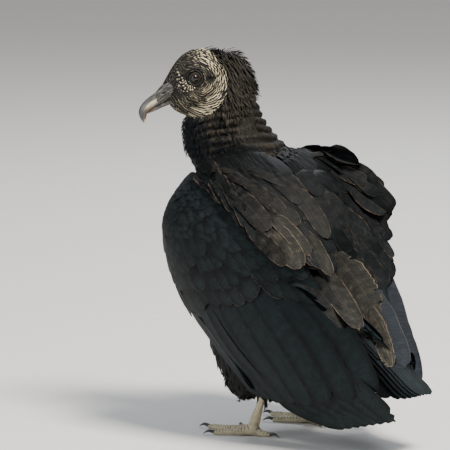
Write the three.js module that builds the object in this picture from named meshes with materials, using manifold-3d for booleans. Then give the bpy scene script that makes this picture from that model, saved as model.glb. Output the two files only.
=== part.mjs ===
// Black vulture (Coragyps atratus), adult, standing with its wings a little lowered and its head turned
// to its left. Millimetres, +Z up. The bird faces -Y, its left side is +X and its soles are at z = 0. At the
// end the whole model is centred over the origin, which is then the middle of the bounding box's underside.
import * as THREE from "three";
import { mergeVertices } from "three/addons/utils/BufferGeometryUtils.js";
import Module from "manifold-3d";

const wasm = await Module();
wasm.setup();

const V = (x, y, z) => new THREE.Vector3(x, y, z);
const rad = THREE.MathUtils.degToRad;

// ---------------------------------------------------------------- driving dimensions
const GAP = 0.4; // clearance between pieces that touch
const LEFT = 1;
const RIGHT = -1;

// The head's own frame: its origin lies midway between the eyes, +X runs to the bill, +Y to the head's left
// and +Z up.
const HEAD_PLACE = V(41.6, -93.6, 410);
const HEAD_TURN = rad(50); // to the bird's left of straight ahead
const HEAD_DIP = rad(30); // bill below the horizontal

const EYE_RADIUS = 6;
const EYE_SPREAD = 18.6; // from the head's middle to an eyeball's centre

// Neck and trunk, one run of cross-sections from the nape to the root of the tail.
// Each has its centre, its turn about the vertical in degrees, its half width and its reach to the back and
// to the breast.
const BODY_STATIONS = [
  { centre: V(17, -69, 435), turn: 50, side: 8, back: 10, front: 8 },
  { centre: V(12, -65, 421), turn: 50, side: 17, back: 21, front: 16 },
  { centre: V(11, -67, 397), turn: 49, side: 25, back: 33, front: 16 },
  { centre: V(15, -73, 374), turn: 47, side: 31, back: 46, front: 27 },
  { centre: V(14, -73, 352), turn: 40, side: 39, back: 47, front: 52 },
  { centre: V(6, -64, 326), turn: 24, side: 51, back: 47, front: 53 },
  { centre: V(0, -43, 290), turn: 6, side: 66, back: 57, front: 60 },
  { centre: V(0, -15, 255), turn: 0, side: 80, back: 62, front: 72 },
  { centre: V(0, 20, 220), turn: 0, side: 79, back: 61, front: 70 },
  { centre: V(0, 56, 188), turn: 0, side: 64, back: 52, front: 55 },
  { centre: V(0, 90, 162), turn: 0, side: 42, back: 31, front: 34 },
  { centre: V(0, 120, 141), turn: 0, side: 25, back: 14, front: 16 },
  { centre: V(0, 144, 123), turn: 0, side: 17, back: 3, front: 6 },
];
const BODY_SECTIONS = 16;
const BODY_SIDES = 16;
const NECK_END = { point: V(0, -44, 300), normal: V(0, -0.35, 1) }; // the neck's lower limit

// The bare head, in the head's frame: how far along the bill's axis, top, underside, half width.
const HEAD_STATIONS = [
  { at: -37, top: 0, base: -10, side: 6 },
  { at: -35.5, top: 5.5, base: -16, side: 12 },
  { at: -31, top: 14, base: -26, side: 17 },
  { at: -21, top: 23, base: -37, side: 21 },
  { at: -8, top: 26.5, base: -43.5, side: 22.5 },
  { at: 4, top: 25.2, base: -45.5, side: 22 },
  { at: 15, top: 20.8, base: -44, side: 20 },
  { at: 25, top: 15, base: -40.5, side: 17 },
  { at: 33, top: 10.4, base: -36, side: 13.5 },
  { at: 38.5, top: 7.8, base: -28, side: 10 },
  { at: 41.5, top: 6.3, base: -19, side: 8 },
];
const HEAD_SECTIONS = 11;
const HEAD_SIDES = 16;

// The two halves of the bill, in the head's frame. The upper one ends in a hook.
const UPPER_BILL = [
  { at: V(37.5, 0, -1.6), side: 7.4, up: 9, down: 9.6 },
  { at: V(48, 0, -3.4), side: 5.8, up: 7.5, down: 7.6 },
  { at: V(57, 0, -4), side: 5, up: 7, down: 6.9 },
  { at: V(65, 0, -5), side: 4.6, up: 6.2, down: 6 },
  { at: V(71, 0, -8), side: 3.8, up: 5.8, down: 3.8 },
  { at: V(74.6, 0, -12.6), side: 2.2, up: 2.8, down: 2.4 },
  { at: V(77.6, 0, -18.4), side: 0.8, up: 0.8, down: 0.8 },
];
const LOWER_BILL = [
  { at: V(37.5, 0, -13.8), side: 6.4, up: 3, down: 3.2 },
  { at: V(50, 0, -12.7), side: 5.2, up: 2, down: 2.4 },
  { at: V(60, 0, -12.3), side: 4, up: 1.6, down: 2 },
  { at: V(67, 0, -12.2), side: 2.2, up: 0.9, down: 1.3 },
];

// Legs, for the left side; the right side mirrors them.
const LEG_SPREAD = 50;
const ANKLE = V(LEG_SPREAD, 34, 76);
const FOOT_ROOT = V(LEG_SPREAD, 10, 13);
const THIGH_STATIONS = [
  { centre: V(44, -4, 168), side: 26, back: 34, front: 40 },
  { centre: V(49, -12, 136), side: 27, back: 38, front: 44 },
  { centre: V(52, -9, 104), side: 25, back: 34, front: 42 },
  { centre: V(52, 3, 78), side: 20, back: 26, front: 36 },
  { centre: V(51, 18, 58), side: 12, back: 14, front: 22 },
];
const TARSUS_RADIUS = { ankle: 6.2, shaft: 4.4, foot: 6.6 };
// Each toe has its heading from straight ahead in degrees, outward positive, its length without the
// claw, its radius at the base and at the tip, and its claw's length.
const TOES = [
  { name: "inner", heading: -30, length: 47, base: 5.2, tip: 3.7, claw: 13 },
  { name: "middle", heading: 3, length: 69, base: 5.6, tip: 3.7, claw: 14 },
  { name: "outer", heading: 34, length: 48, base: 5, tip: 3.5, claw: 12 },
  { name: "hallux", heading: 196, length: 21, base: 4.8, tip: 3.6, claw: 12 },
];
const PALM = { radius: 7.4, height: 7.6 };
const FOOT_TOP = 13.6; // where the foot ends and the tarsus begins
const CLAW_GAP = 1.2; // from a toe's end to its claw, wide enough for their tilted ends
const SOLE_SINK = 1.2; // how much of a toe's round underside is pressed flat

// Wings. Each is a net of points on its outer face: rows run from the shoulder down to the feather tips,
// columns from the leading edge back to the tertials. The right wing is given as if it were a left one, and
// mirrored.
const WING_NET = {
  left: [
    [V(68, -74, 298), V(78, -61, 303), V(84, -42, 305), V(78, -16, 307), V(52, 8, 304)],
    [V(84, -90, 262), V(103, -71, 268), V(109, -38, 274), V(101, 10, 279), V(72, 50, 270)],
    [V(88, -93, 226), V(108, -74, 230), V(118, -32, 236), V(115, 38, 246), V(88, 98, 244)],
    [V(90, -66, 160), V(107, -48, 167), V(120, -2, 176), V(117, 64, 190), V(88, 134, 196)],
    [V(88, -14, 104), V(100, -2, 112), V(111, 32, 118), V(106, 98, 130), V(74, 178, 140)],
    [V(80, 36, 60), V(86, 46, 58), V(88, 80, 55), V(82, 130, 56), V(60, 200, 72)],
  ],
  right: [
    [V(68, -74, 298), V(78, -61, 303), V(82, -42, 304), V(74, -16, 304), V(50, 4, 300)],
    [V(84, -90, 262), V(103, -71, 268), V(107, -38, 272), V(98, 8, 274), V(70, 40, 264)],
    [V(88, -93, 226), V(106, -74, 230), V(114, -32, 236), V(110, 30, 242), V(84, 78, 234)],
    [V(90, -66, 160), V(104, -48, 167), V(114, -2, 176), V(106, 48, 184), V(80, 96, 184)],
    [V(88, -14, 104), V(97, -2, 112), V(105, 32, 118), V(92, 78, 126), V(62, 134, 132)],
    [V(80, 36, 60), V(84, 46, 60), V(84, 76, 57), V(70, 110, 58), V(40, 168, 76)],
  ],
};
// The folded primaries show below and behind the secondaries.
const PRIMARY_NET = {
  left: [
    [V(92, -20, 150), V(88, 60, 160)],
    [V(84, 30, 96), V(78, 120, 118)],
    [V(74, 88, 54), V(64, 182, 82)],
    [V(58, 160, 34), V(46, 226, 44)],
  ],
  right: [
    [V(88, -20, 150), V(80, 44, 158)],
    [V(78, 24, 96), V(60, 96, 120)],
    [V(64, 76, 58), V(44, 146, 96)],
    [V(50, 132, 54), V(32, 186, 98)],
  ],
};
const COVERT_SPAN = 0.64; // share of the wing's height that the coverts take
const COVERT_THICKNESS = { top: 30, middle: 12, edge: 2.4 };
const FLIGHT_THICKNESS = 1.8;
const PRIMARY_THICKNESS = 2.4;
const COVERT_COUNT = 11;
const FLIGHT_START = 0.55; // share of the wing's height where the secondaries begin, under the coverts
const FLIGHT_CLEARANCE = 3; // from the coverts' underside down to the secondaries
const SECONDARY_COUNT = 9;
const PRIMARY_COUNT = 6;

// Fans of long feathers that lie over the wings and the back, from the outer feather to the inner one, each
// given by the point where its quill leaves the body and by its tip.
const SCAPULAR_FANS = {
  left: [
    { root: V(84, -46, 313), tip: V(98, -12, 298) },
    { root: V(82, -38, 318), tip: V(109, 34, 273) },
    { root: V(74, -32, 322), tip: V(114, 74, 246) },
    { root: V(64, -26, 325), tip: V(106, 112, 221) },
    { root: V(52, -18, 327), tip: V(88, 134, 214) },
    { root: V(40, -8, 328), tip: V(62, 140, 206) },
    { root: V(28, 2, 326), tip: V(32, 112, 242) },
  ],
  right: [
    { root: V(82, -44, 310), tip: V(98, 4, 295) },
    { root: V(78, -36, 315), tip: V(88, 49, 306) },
    { root: V(70, -30, 318), tip: V(95, 56, 289) },
    { root: V(60, -22, 320), tip: V(103, 84, 260) },
    { root: V(48, -12, 321), tip: V(101, 84, 228) },
    { root: V(36, -2, 321), tip: V(87, 104, 194) },
    { root: V(22, 8, 320), tip: V(56, 112, 196) },
    { root: V(8, 14, 319), tip: V(24, 104, 220) },
    { root: V(-6, 16, 318), tip: V(-5, 112, 196) },
  ],
};
const TERTIAL_FANS = {
  left: [
    { root: V(96, 108, 201), tip: V(98, 150, 182) },
    { root: V(90, 111, 204), tip: V(88, 184, 154) },
    { root: V(82, 113, 207), tip: V(75, 202, 150) },
    { root: V(73, 113, 209), tip: V(55, 216, 132) },
    { root: V(64, 112, 211), tip: V(45, 226, 108) },
    { root: V(54, 110, 213), tip: V(28, 200, 160) },
  ],
  right: [
    { root: V(98, 62, 205), tip: V(87, 101, 160) },
    { root: V(88, 74, 205), tip: V(73, 128, 142) },
    { root: V(77, 82, 204), tip: V(54, 152, 118) },
    { root: V(64, 86, 204), tip: V(33, 180, 90) },
  ],
};
const FAN_THICKNESS = { quill: 4, tip: 1.4 };
const FAN_ROWS = 3;
// How far the feathers bow away from a straight line, as a share of their length, and how deep the cuts
// between their tips go.
const SCAPULAR_SET = { bow: 0.06, notch: 14 };
const TERTIAL_SET = { bow: 0.02, notch: 16 };

// Tail
const TAIL_ROOT = V(0, 96, 155);
const TAIL_TIP = V(0, 224, 68);
const TAIL_HALF_WIDTH = { root: 18, tip: 33 };
const TAIL_ARCH = 9; // how far the edges hang below the middle
const TAIL_FEATHERS = 12;
const TAIL_ROWS = 2;
const TAIL_THICKNESS = { root: 7, tip: 1.8 };

// ---------------------------------------------------------------- materials
const finish = (colour, roughness) =>
  new THREE.MeshStandardMaterial({ color: colour, roughness, metalness: 0 });
const SKIN = finish(0x5b5750, 0.75);
const PLUMAGE = finish(0x1b1a1b, 0.7);
const FLIGHT = finish(0x16181c, 0.55);
const WEATHERED = finish(0x3a322c, 0.75);
const HORN = finish(0x6d6158, 0.4);
const IRIS = finish(0x2a1409, 0.1);
const SHANK = finish(0x8f8b86, 0.7);
const CLAW = finish(0x2a2725, 0.4);

// ---------------------------------------------------------------- geometry helpers
/** Smooth value of one field of a list of stations at t from 0 to 1, or a little beyond either end. */
function stationValue(stations, read, t) {
  const spans = stations.length - 1;
  const i = THREE.MathUtils.clamp(Math.floor(t * spans), 0, spans - 1);
  const at = (k) => read(stations[THREE.MathUtils.clamp(k, 0, spans)]);
  const f = t * spans - i;
  const [p0, p1, p2, p3] = [at(i - 1), at(i), at(i + 1), at(i + 2)];
  return (
    p1 +
    0.5 * f * (p2 - p0 + f * (2 * p0 - 5 * p1 + 4 * p2 - p3 + f * (3 * (p1 - p2) + p3 - p0)))
  );
}

/** Smooth vector of one field of a list of stations. */
function stationVector(stations, read, t) {
  return V(
    stationValue(stations, (s) => read(s).x, t),
    stationValue(stations, (s) => read(s).y, t),
    stationValue(stations, (s) => read(s).z, t),
  );
}

/** A closed geometry from rings of equal length, the ends closed by fans. */
function skinRings(rings) {
  const sides = rings[0].length;
  const points = rings.flat();
  const middle = (ring) =>
    ring.reduce((sum, p) => sum.add(p), V(0, 0, 0)).divideScalar(ring.length);
  const first = points.push(middle(rings[0])) - 1;
  const last = points.push(middle(rings[rings.length - 1])) - 1;
  const index = [];
  for (let r = 0; r < rings.length - 1; r++) {
    for (let s = 0; s < sides; s++) {
      const a = r * sides + s;
      const b = r * sides + ((s + 1) % sides);
      index.push(a, b, a + sides, b, b + sides, a + sides);
    }
  }
  const end = (rings.length - 1) * sides;
  for (let s = 0; s < sides; s++) {
    const next = (s + 1) % sides;
    index.push(first, next, s, last, end + s, end + next);
  }
  return new THREE.BufferGeometry().setFromPoints(points).setIndex(index);
}

/** A closed plate between an outer and an inner grid of points, each as grid[row][column]. */
function skinPlate(outer, inner) {
  const rows = outer.length;
  const columns = outer[0].length;
  const points = [...outer.flat(), ...inner.flat()];
  const under = rows * columns;
  const index = [];
  const at = (r, c) => r * columns + c;
  for (let r = 0; r < rows - 1; r++) {
    for (let c = 0; c < columns - 1; c++) {
      const [a, b, d, e] = [at(r, c), at(r, c + 1), at(r + 1, c), at(r + 1, c + 1)];
      index.push(a, b, d, b, e, d);
      index.push(under + a, under + d, under + b, under + b, under + d, under + e);
    }
  }
  const rim = [];
  for (let c = 0; c < columns - 1; c++) rim.push(at(0, c));
  for (let r = 0; r < rows - 1; r++) rim.push(at(r, columns - 1));
  for (let c = columns - 1; c > 0; c--) rim.push(at(rows - 1, c));
  for (let r = rows - 1; r > 0; r--) rim.push(at(r, 0));
  rim.forEach((a, i) => {
    const b = rim[(i + 1) % rim.length];
    index.push(a, under + a, b, b, under + a, under + b);
  });
  return new THREE.BufferGeometry().setFromPoints(points).setIndex(index);
}

/** A manifold-3d solid of a closed geometry, turned right side out where it was made inside out. */
function solid(geometry) {
  const bare = new THREE.BufferGeometry()
    .setAttribute("position", geometry.getAttribute("position"))
    .setIndex(geometry.getIndex());
  const merged = mergeVertices(bare, 1e-3);
  const faces = [];
  const source = merged.index.array;
  for (let i = 0; i < source.length; i += 3) {
    const [a, b, c] = source.subarray(i, i + 3);
    if (a !== b && b !== c && c !== a) faces.push(a, b, c);
  }
  const make = (triVerts) =>
    new wasm.Manifold(
      new wasm.Mesh({
        numProp: 3,
        vertProperties: new Float32Array(merged.attributes.position.array),
        triVerts: new Uint32Array(triVerts),
      }),
    );
  const made = make(faces);
  return made.volume() > 0 ? made : make(faces.reverse());
}

/** A plate between two grids of points, grown on every side where it is made to cut its neighbours. */
function plateSolid(top, bottom, grow = 0) {
  const away = (grid, r, c, dr, dc) => {
    const inner = grid[r - dr]?.[c - dc];
    return inner ? grid[r][c].clone().sub(inner).normalize() : V(0, 0, 0);
  };
  const grown = (grid, other) =>
    grid.map((row, r) =>
      row.map((point, c) => {
        const moved = point.clone().addScaledVector(point.clone().sub(other[r][c]).normalize(), grow);
        if (r === 0) moved.addScaledVector(away(grid, r, c, -1, 0), grow);
        if (r === grid.length - 1) moved.addScaledVector(away(grid, r, c, 1, 0), grow);
        if (c === 0) moved.addScaledVector(away(grid, r, c, 0, -1), grow);
        if (c === row.length - 1) moved.addScaledVector(away(grid, r, c, 0, 1), grow);
        return moved;
      }),
    );
  return solid(skinPlate(grown(top, bottom), grown(bottom, top)));
}

/** The largest connected body of a solid. */
function mainBody(made) {
  return made.decompose().reduce((a, b) => (a.volume() > b.volume() ? a : b));
}

/** A three.js geometry of a solid. */
function geometryOf(made) {
  const mesh = made.getMesh();
  const position = [];
  for (let i = 0; i < mesh.numVert; i++) {
    position.push(...mesh.vertProperties.subarray(i * mesh.numProp, i * mesh.numProp + 3));
  }
  const geometry = new THREE.BufferGeometry();
  geometry.setAttribute("position", new THREE.Float32BufferAttribute(position, 3));
  geometry.setIndex(Array.from(mesh.triVerts));
  return geometry;
}

const mirrorX = (p) => V(-p.x, p.y, p.z);
const sided = (p, side) => (side === LEFT ? p.clone() : mirrorX(p));

// ---------------------------------------------------------------- flesh
/** A run of egg-shaped sections along the stations' centres. */
function fleshRun(stations, sections, sides, grow = 0) {
  const centre = (t) => stationVector(stations, (s) => s.centre, t);
  const rings = [];
  for (let k = 0; k <= sections; k++) {
    const t = k / sections;
    const along = centre(Math.min(t + 0.01, 1)).sub(centre(Math.max(t - 0.01, 0))).normalize();
    const turn = rad(stationValue(stations, (s) => s.turn ?? 0, t));
    const side = V(Math.cos(turn), Math.sin(turn), 0);
    const back = side.clone().cross(along).normalize();
    const [wide, rear, front] = ["side", "back", "front"].map(
      (field) => stationValue(stations, (s) => s[field], t) + grow,
    );
    const ring = [];
    for (let s = 0; s < sides; s++) {
      const angle = (s / sides) * 2 * Math.PI;
      const reach = Math.sin(angle) > 0 ? rear : front;
      ring.push(
        centre(t)
          .addScaledVector(side, wide * Math.cos(angle))
          .addScaledVector(back, reach * Math.sin(angle)),
      );
    }
    rings.push(ring);
  }
  return solid(skinRings(rings));
}

const headMatrix = new THREE.Matrix4()
  .makeRotationZ(HEAD_TURN - Math.PI / 2)
  .multiply(new THREE.Matrix4().makeRotationY(HEAD_DIP))
  .setPosition(HEAD_PLACE);

/** The bare head, from the back of the skull to the root of the bill. */
function headSolid(grow = 0) {
  const rings = [];
  for (let k = 0; k <= HEAD_SECTIONS; k++) {
    const t = k / HEAD_SECTIONS;
    const [at, top, base, side] = ["at", "top", "base", "side"].map((field) =>
      stationValue(HEAD_STATIONS, (s) => s[field], t),
    );
    const ring = [];
    for (let s = 0; s < HEAD_SIDES; s++) {
      const angle = (s / HEAD_SIDES) * 2 * Math.PI;
      const half = (top - base) / 2 + grow;
      ring.push(
        V(at, (side + grow) * Math.cos(angle), (top + base) / 2 + half * Math.sin(angle)),
      );
    }
    rings.push(ring.map((p) => p.applyMatrix4(headMatrix)));
  }
  return solid(skinRings(rings));
}

/** The stations of one half of the bill with every reach of their sections grown. */
const grown = (stations, grow) =>
  stations.map(({ at, side, up, down }) => ({
    at,
    side: side + grow,
    up: up + grow,
    down: down + grow,
  }));

/** Half of the bill in the head's frame: sections square to its own curving centre line. */
function billGeometry(stations, sections, sides) {
  const centre = (t) => stationVector(stations, (s) => s.at, t);
  const rings = [];
  for (let k = 0; k <= sections; k++) {
    const t = k / sections;
    const along = centre(Math.min(t + 0.02, 1)).sub(centre(Math.max(t - 0.02, 0))).normalize();
    const up = along.clone().cross(V(0, 1, 0)).normalize();
    const [side, rise, drop] = ["side", "up", "down"].map((field) =>
      stationValue(stations, (s) => s[field], t),
    );
    const ring = [];
    for (let s = 0; s < sides; s++) {
      const angle = (s / sides) * 2 * Math.PI;
      const reach = Math.sin(angle) > 0 ? rise : drop;
      ring.push(
        centre(t)
          .add(V(0, side * Math.cos(angle), 0))
          .addScaledVector(up, reach * Math.sin(angle)),
      );
    }
    rings.push(ring);
  }
  return skinRings(rings);
}

const thighSolid = (side, grow = 0) =>
  fleshRun(
    THIGH_STATIONS.map((s) => ({ ...s, centre: sided(s.centre, side) })),
    6,
    12,
    grow,
  );

// ---------------------------------------------------------------- wings
/** A point on a net of control points, u across the columns and v down the rows, both from 0 to 1. */
function netPoint(net, u, v) {
  const row = net.map((points) => stationVector(points, (p) => p, u));
  return stationVector(row, (p) => p, v);
}

/** The outward normal of a left-side net. */
function netNormal(net, u, v) {
  const step = 0.01;
  const [u0, u1] = [Math.max(u - step, 0), Math.min(u + step, 1)];
  const [v0, v1] = [Math.max(v - step, 0), Math.min(v + step, 1)];
  const across = netPoint(net, u1, v).sub(netPoint(net, u0, v));
  const down = netPoint(net, u, v1).sub(netPoint(net, u, v0));
  return down.cross(across).normalize();
}

/** How far a round feather tip falls short of the row's end, at x from 0 to 1 across the feather. */
const tipFall = (x, depth) => depth * (1 - Math.sqrt(Math.max(0, 1 - (2 * x - 1) ** 2)));

/** A plate that follows a net between two depths, its lower edge scalloped into feather tips. */
function wingPlate(net, side, plate, grow) {
  const { rows, columns, from, to, count, scallop, outer, inner } = plate;
  const [top, bottom] = [[], []];
  for (let r = 0; r <= rows; r++) {
    const [topRow, bottomRow] = [[], []];
    for (let c = 0; c <= columns; c++) {
      const u = c / columns;
      const end = to - tipFall((u * count) % 1, scallop);
      const v = THREE.MathUtils.lerp(from, end, r / rows);
      const normal = netNormal(net, u, v);
      const point = netPoint(net, u, v);
      topRow.push(sided(point.clone().addScaledVector(normal, -outer(v)), side));
      bottomRow.push(sided(point.clone().addScaledVector(normal, -inner(v)), side));
    }
    top.push(topRow);
    bottom.push(bottomRow);
  }
  return plateSolid(top, bottom, grow);
}

/** Thickness of the covert pad at a share v of the wing's height. */
function covertDepth(v) {
  const { top, middle, edge } = COVERT_THICKNESS;
  const share = THREE.MathUtils.clamp(v / COVERT_SPAN, 0, 1);
  return share < 0.5
    ? THREE.MathUtils.lerp(top, middle, share * 2)
    : THREE.MathUtils.lerp(middle, edge, share * 2 - 1);
}

const COVERT_PLATE = {
  rows: 3,
  columns: COVERT_COUNT * 2,
  from: 0,
  to: COVERT_SPAN,
  count: COVERT_COUNT,
  scallop: 0.025,
  outer: () => 0,
  inner: covertDepth,
};
const SECONDARY_PLATE = {
  rows: 3,
  columns: SECONDARY_COUNT * 2,
  from: FLIGHT_START,
  to: 1,
  count: SECONDARY_COUNT,
  scallop: 0.06,
  outer: (v) => covertDepth(v) + FLIGHT_CLEARANCE,
  inner: (v) => covertDepth(v) + FLIGHT_CLEARANCE + FLIGHT_THICKNESS,
};
const PRIMARY_PLATE = {
  rows: 3,
  columns: PRIMARY_COUNT * 3,
  from: 0,
  to: 1,
  count: PRIMARY_COUNT,
  scallop: 0.07,
  outer: () => 0,
  inner: () => PRIMARY_THICKNESS,
};

/** A fan of overlapping long feathers as one plate, whose lower edge is notched between their tips. */
function fanSolid(feathers, side, { bow, notch }, grow = 0) {
  const last = feathers.length - 1;
  const span = (read, place) => stationVector(feathers, read, place / last);
  const columns = 3 * feathers.length;
  const rail = [];
  for (let c = 0; c <= columns; c++) {
    const place = THREE.MathUtils.clamp(c / 3 - 0.5, 0, last);
    const root = span((f) => f.root, place);
    const along = span((f) => f.tip, place).sub(root);
    // Between two feathers the column ends in the notch.
    const reach = c % 3 === 0 ? 1 - notch / along.length() : 1;
    rail.push({ root, along, reach });
  }
  const [top, bottom] = [[], []];
  for (let r = 0; r <= FAN_ROWS; r++) {
    const [topRow, bottomRow] = [[], []];
    rail.forEach(({ root, along, reach }, c) => {
      const across = rail[Math.min(c + 1, columns)].root.clone().sub(rail[Math.max(c - 1, 0)].root);
      const lift = along.clone().cross(across).normalize();
      const t = (r / FAN_ROWS) * reach;
      const point = root
        .clone()
        .addScaledVector(along, t)
        .addScaledVector(lift, bow * along.length() * Math.sin(Math.PI * t));
      const depth = THREE.MathUtils.lerp(FAN_THICKNESS.quill, FAN_THICKNESS.tip, Math.sqrt(t));
      topRow.push(sided(point, side));
      bottomRow.push(sided(point.addScaledVector(lift, -depth), side));
    });
    top.push(topRow);
    bottom.push(bottomRow);
  }
  return plateSolid(top, bottom, grow);
}

// ---------------------------------------------------------------- tail
/** The folded tail: overlapping quills as one fan-shaped plate with twelve round tips. */
function tailSolid(grow = 0) {
  const axis = TAIL_TIP.clone().sub(TAIL_ROOT);
  const up = V(1, 0, 0).cross(axis).normalize();
  const columns = TAIL_FEATHERS * 2;
  const [top, bottom] = [[], []];
  for (let r = 0; r <= TAIL_ROWS; r++) {
    const [topRow, bottomRow] = [[], []];
    for (let c = 0; c <= columns; c++) {
      const u = c / columns;
      const x = 2 * u - 1;
      const reach = (1 - 0.07 * x * x) * (1 - tipFall((u * TAIL_FEATHERS) % 1, 0.025));
      const s = (r / TAIL_ROWS) * reach;
      const half = THREE.MathUtils.lerp(TAIL_HALF_WIDTH.root, TAIL_HALF_WIDTH.tip, s);
      const thick = THREE.MathUtils.lerp(TAIL_THICKNESS.root, TAIL_THICKNESS.tip, s);
      const point = TAIL_ROOT.clone()
        .addScaledVector(axis, s)
        .add(V(x * half, 0, 0))
        .addScaledVector(up, -TAIL_ARCH * x * x);
      topRow.push(point);
      bottomRow.push(point.clone().addScaledVector(up, -thick));
    }
    top.push(topRow);
    bottom.push(bottomRow);
  }
  return plateSolid(top, bottom, grow);
}

// ---------------------------------------------------------------- feet
/** A tapering round limb along a smooth line through the points. */
function limbSolid(points, radii, sections, sides) {
  const curve = new THREE.CatmullRomCurve3(points);
  const rings = [];
  for (let k = 0; k <= sections; k++) {
    const t = k / sections;
    const along = curve.getTangent(t);
    const side = V(0, 0, 1).cross(along);
    if (side.length() < 0.1) side.set(1, 0, 0);
    side.normalize();
    const up = along.clone().cross(side).normalize();
    const radius = stationValue(radii, (r) => r, t);
    const ring = [];
    for (let s = 0; s < sides; s++) {
      const angle = (s / sides) * 2 * Math.PI;
      ring.push(
        curve
          .getPoint(t)
          .addScaledVector(side, radius * Math.cos(angle))
          .addScaledVector(up, radius * Math.sin(angle)),
      );
    }
    rings.push(ring);
  }
  return solid(skinRings(rings));
}

/** Where a toe heads, on the floor's plane. */
function toeHeading(toe, side) {
  const angle = rad(toe.heading);
  return V(side * Math.sin(angle), -Math.cos(angle), 0);
}

function toeSolid(toe, side) {
  const heading = toeHeading(toe, side);
  const root = sided(FOOT_ROOT, side);
  root.z = toe.base + 3;
  const at = (share, z) =>
    V(root.x, root.y, 0).addScaledVector(heading, toe.length * share).setZ(z);
  const mid = (toe.base + toe.tip) / 2;
  const points = [
    root,
    at(0.28, toe.base - SOLE_SINK + 0.8),
    at(0.55, mid - SOLE_SINK + 0.5),
    at(0.8, toe.tip - SOLE_SINK + 0.5),
    at(1, toe.tip - SOLE_SINK),
  ];
  return limbSolid(points, [toe.base, toe.base, mid * 0.92, toe.tip * 1.06, toe.tip * 0.8], 5, 7);
}

/** The four toes of a foot, joined at their roots and pressed flat on the floor. */
const footSolid = (side) =>
  TOES.reduce(
    (made, toe) => made.add(toeSolid(toe, side)),
    solid(
      new THREE.SphereGeometry(PALM.radius, 8, 6)
        .rotateX(Math.PI / 2)
        .translate(side * FOOT_ROOT.x, FOOT_ROOT.y, PALM.height),
    ),
  )
    .trimByPlane([0, 0, 1], 0)
    .trimByPlane([0, 0, -1], -FOOT_TOP);

/** A curved claw that starts at the toe's end and points down to just above the floor. */
function clawSolid(toe, side) {
  const heading = toeHeading(toe, side);
  const root = sided(FOOT_ROOT, side);
  const at = (reach, z) =>
    V(root.x, root.y, 0).addScaledVector(heading, toe.length + reach).setZ(z);
  const tip = toe.tip;
  const points = [
    at(CLAW_GAP, tip),
    at(toe.claw * 0.35, tip + 0.6),
    at(toe.claw * 0.75, tip - 0.9),
    at(toe.claw, 0.9),
  ];
  return limbSolid(points, [tip * 0.62, tip * 0.56, tip * 0.34, 0.35], 4, 5);
}

function tarsusSolid(side) {
  const ankle = sided(ANKLE, side);
  const foot = sided(FOOT_ROOT, side);
  const at = (t) => ankle.clone().lerp(foot, t);
  const { ankle: wide, shaft, foot: palm } = TARSUS_RADIUS;
  return limbSolid(
    [at(-0.04), at(0.1), at(0.35), at(0.7), at(0.92), at(1.06)],
    [wide * 0.8, wide, shaft * 1.08, shaft, palm * 0.95, palm * 0.9],
    7,
    10,
  ).trimByPlane([0, 0, 1], FOOT_TOP + GAP);
}

// ---------------------------------------------------------------- assembly
const bird = new THREE.Group();

function addMesh(name, made, material, parent = bird) {
  const geometry = made.isBufferGeometry ? made : geometryOf(made);
  const mesh = new THREE.Mesh(geometry, material);
  mesh.name = name;
  parent.add(mesh);
  return mesh;
}

// Head, bill and eyes
const headGroup = new THREE.Group();
headGroup.applyMatrix4(headMatrix);
bird.add(headGroup);

const eyeGeometry = (radius) => new THREE.SphereGeometry(radius, 10, 8);
const eyeball = (side, radius) => solid(eyeGeometry(radius).translate(0, side * EYE_SPREAD, 0));
const upperBill = (grow = 0) => solid(billGeometry(grown(UPPER_BILL, grow), 10, 12));
const lowerBill = (grow = 0) => solid(billGeometry(grown(LOWER_BILL, grow), 6, 10));
const socket = eyeball(LEFT, EYE_RADIUS + GAP)
  .add(eyeball(RIGHT, EYE_RADIUS + GAP))
  .add(upperBill(GAP))
  .add(lowerBill(GAP))
  .transform(headMatrix.elements);

const bodyRun = (grow) => fleshRun(BODY_STATIONS, BODY_SECTIONS, BODY_SIDES, grow);
const neckEnd = NECK_END.normal.clone().normalize();
const neckOffset = neckEnd.dot(NECK_END.point);
const neckAndTrunk = bodyRun(0).subtract(headSolid(GAP)).subtract(socket);
const neck = neckAndTrunk.trimByPlane(neckEnd.toArray(), neckOffset + GAP / 2);
const trunk = neckAndTrunk.trimByPlane(neckEnd.clone().negate().toArray(), -neckOffset + GAP / 2);

addMesh("head", mainBody(headSolid().subtract(socket)), SKIN);
addMesh("neck", mainBody(neck), PLUMAGE);
addMesh("trunk", mainBody(trunk), PLUMAGE);
addMesh("bill_upper", upperBill(), HORN, headGroup);
addMesh("bill_lower", mainBody(lowerBill().subtract(upperBill(GAP))), HORN, headGroup);
for (const [name, side] of [["eye_left", LEFT], ["eye_right", RIGHT]]) {
  const eye = addMesh(name, eyeGeometry(EYE_RADIUS), IRIS, headGroup);
  eye.position.set(0, side * EYE_SPREAD, 0);
}

const fleshCut = bodyRun(GAP).add(headSolid(GAP));

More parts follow.
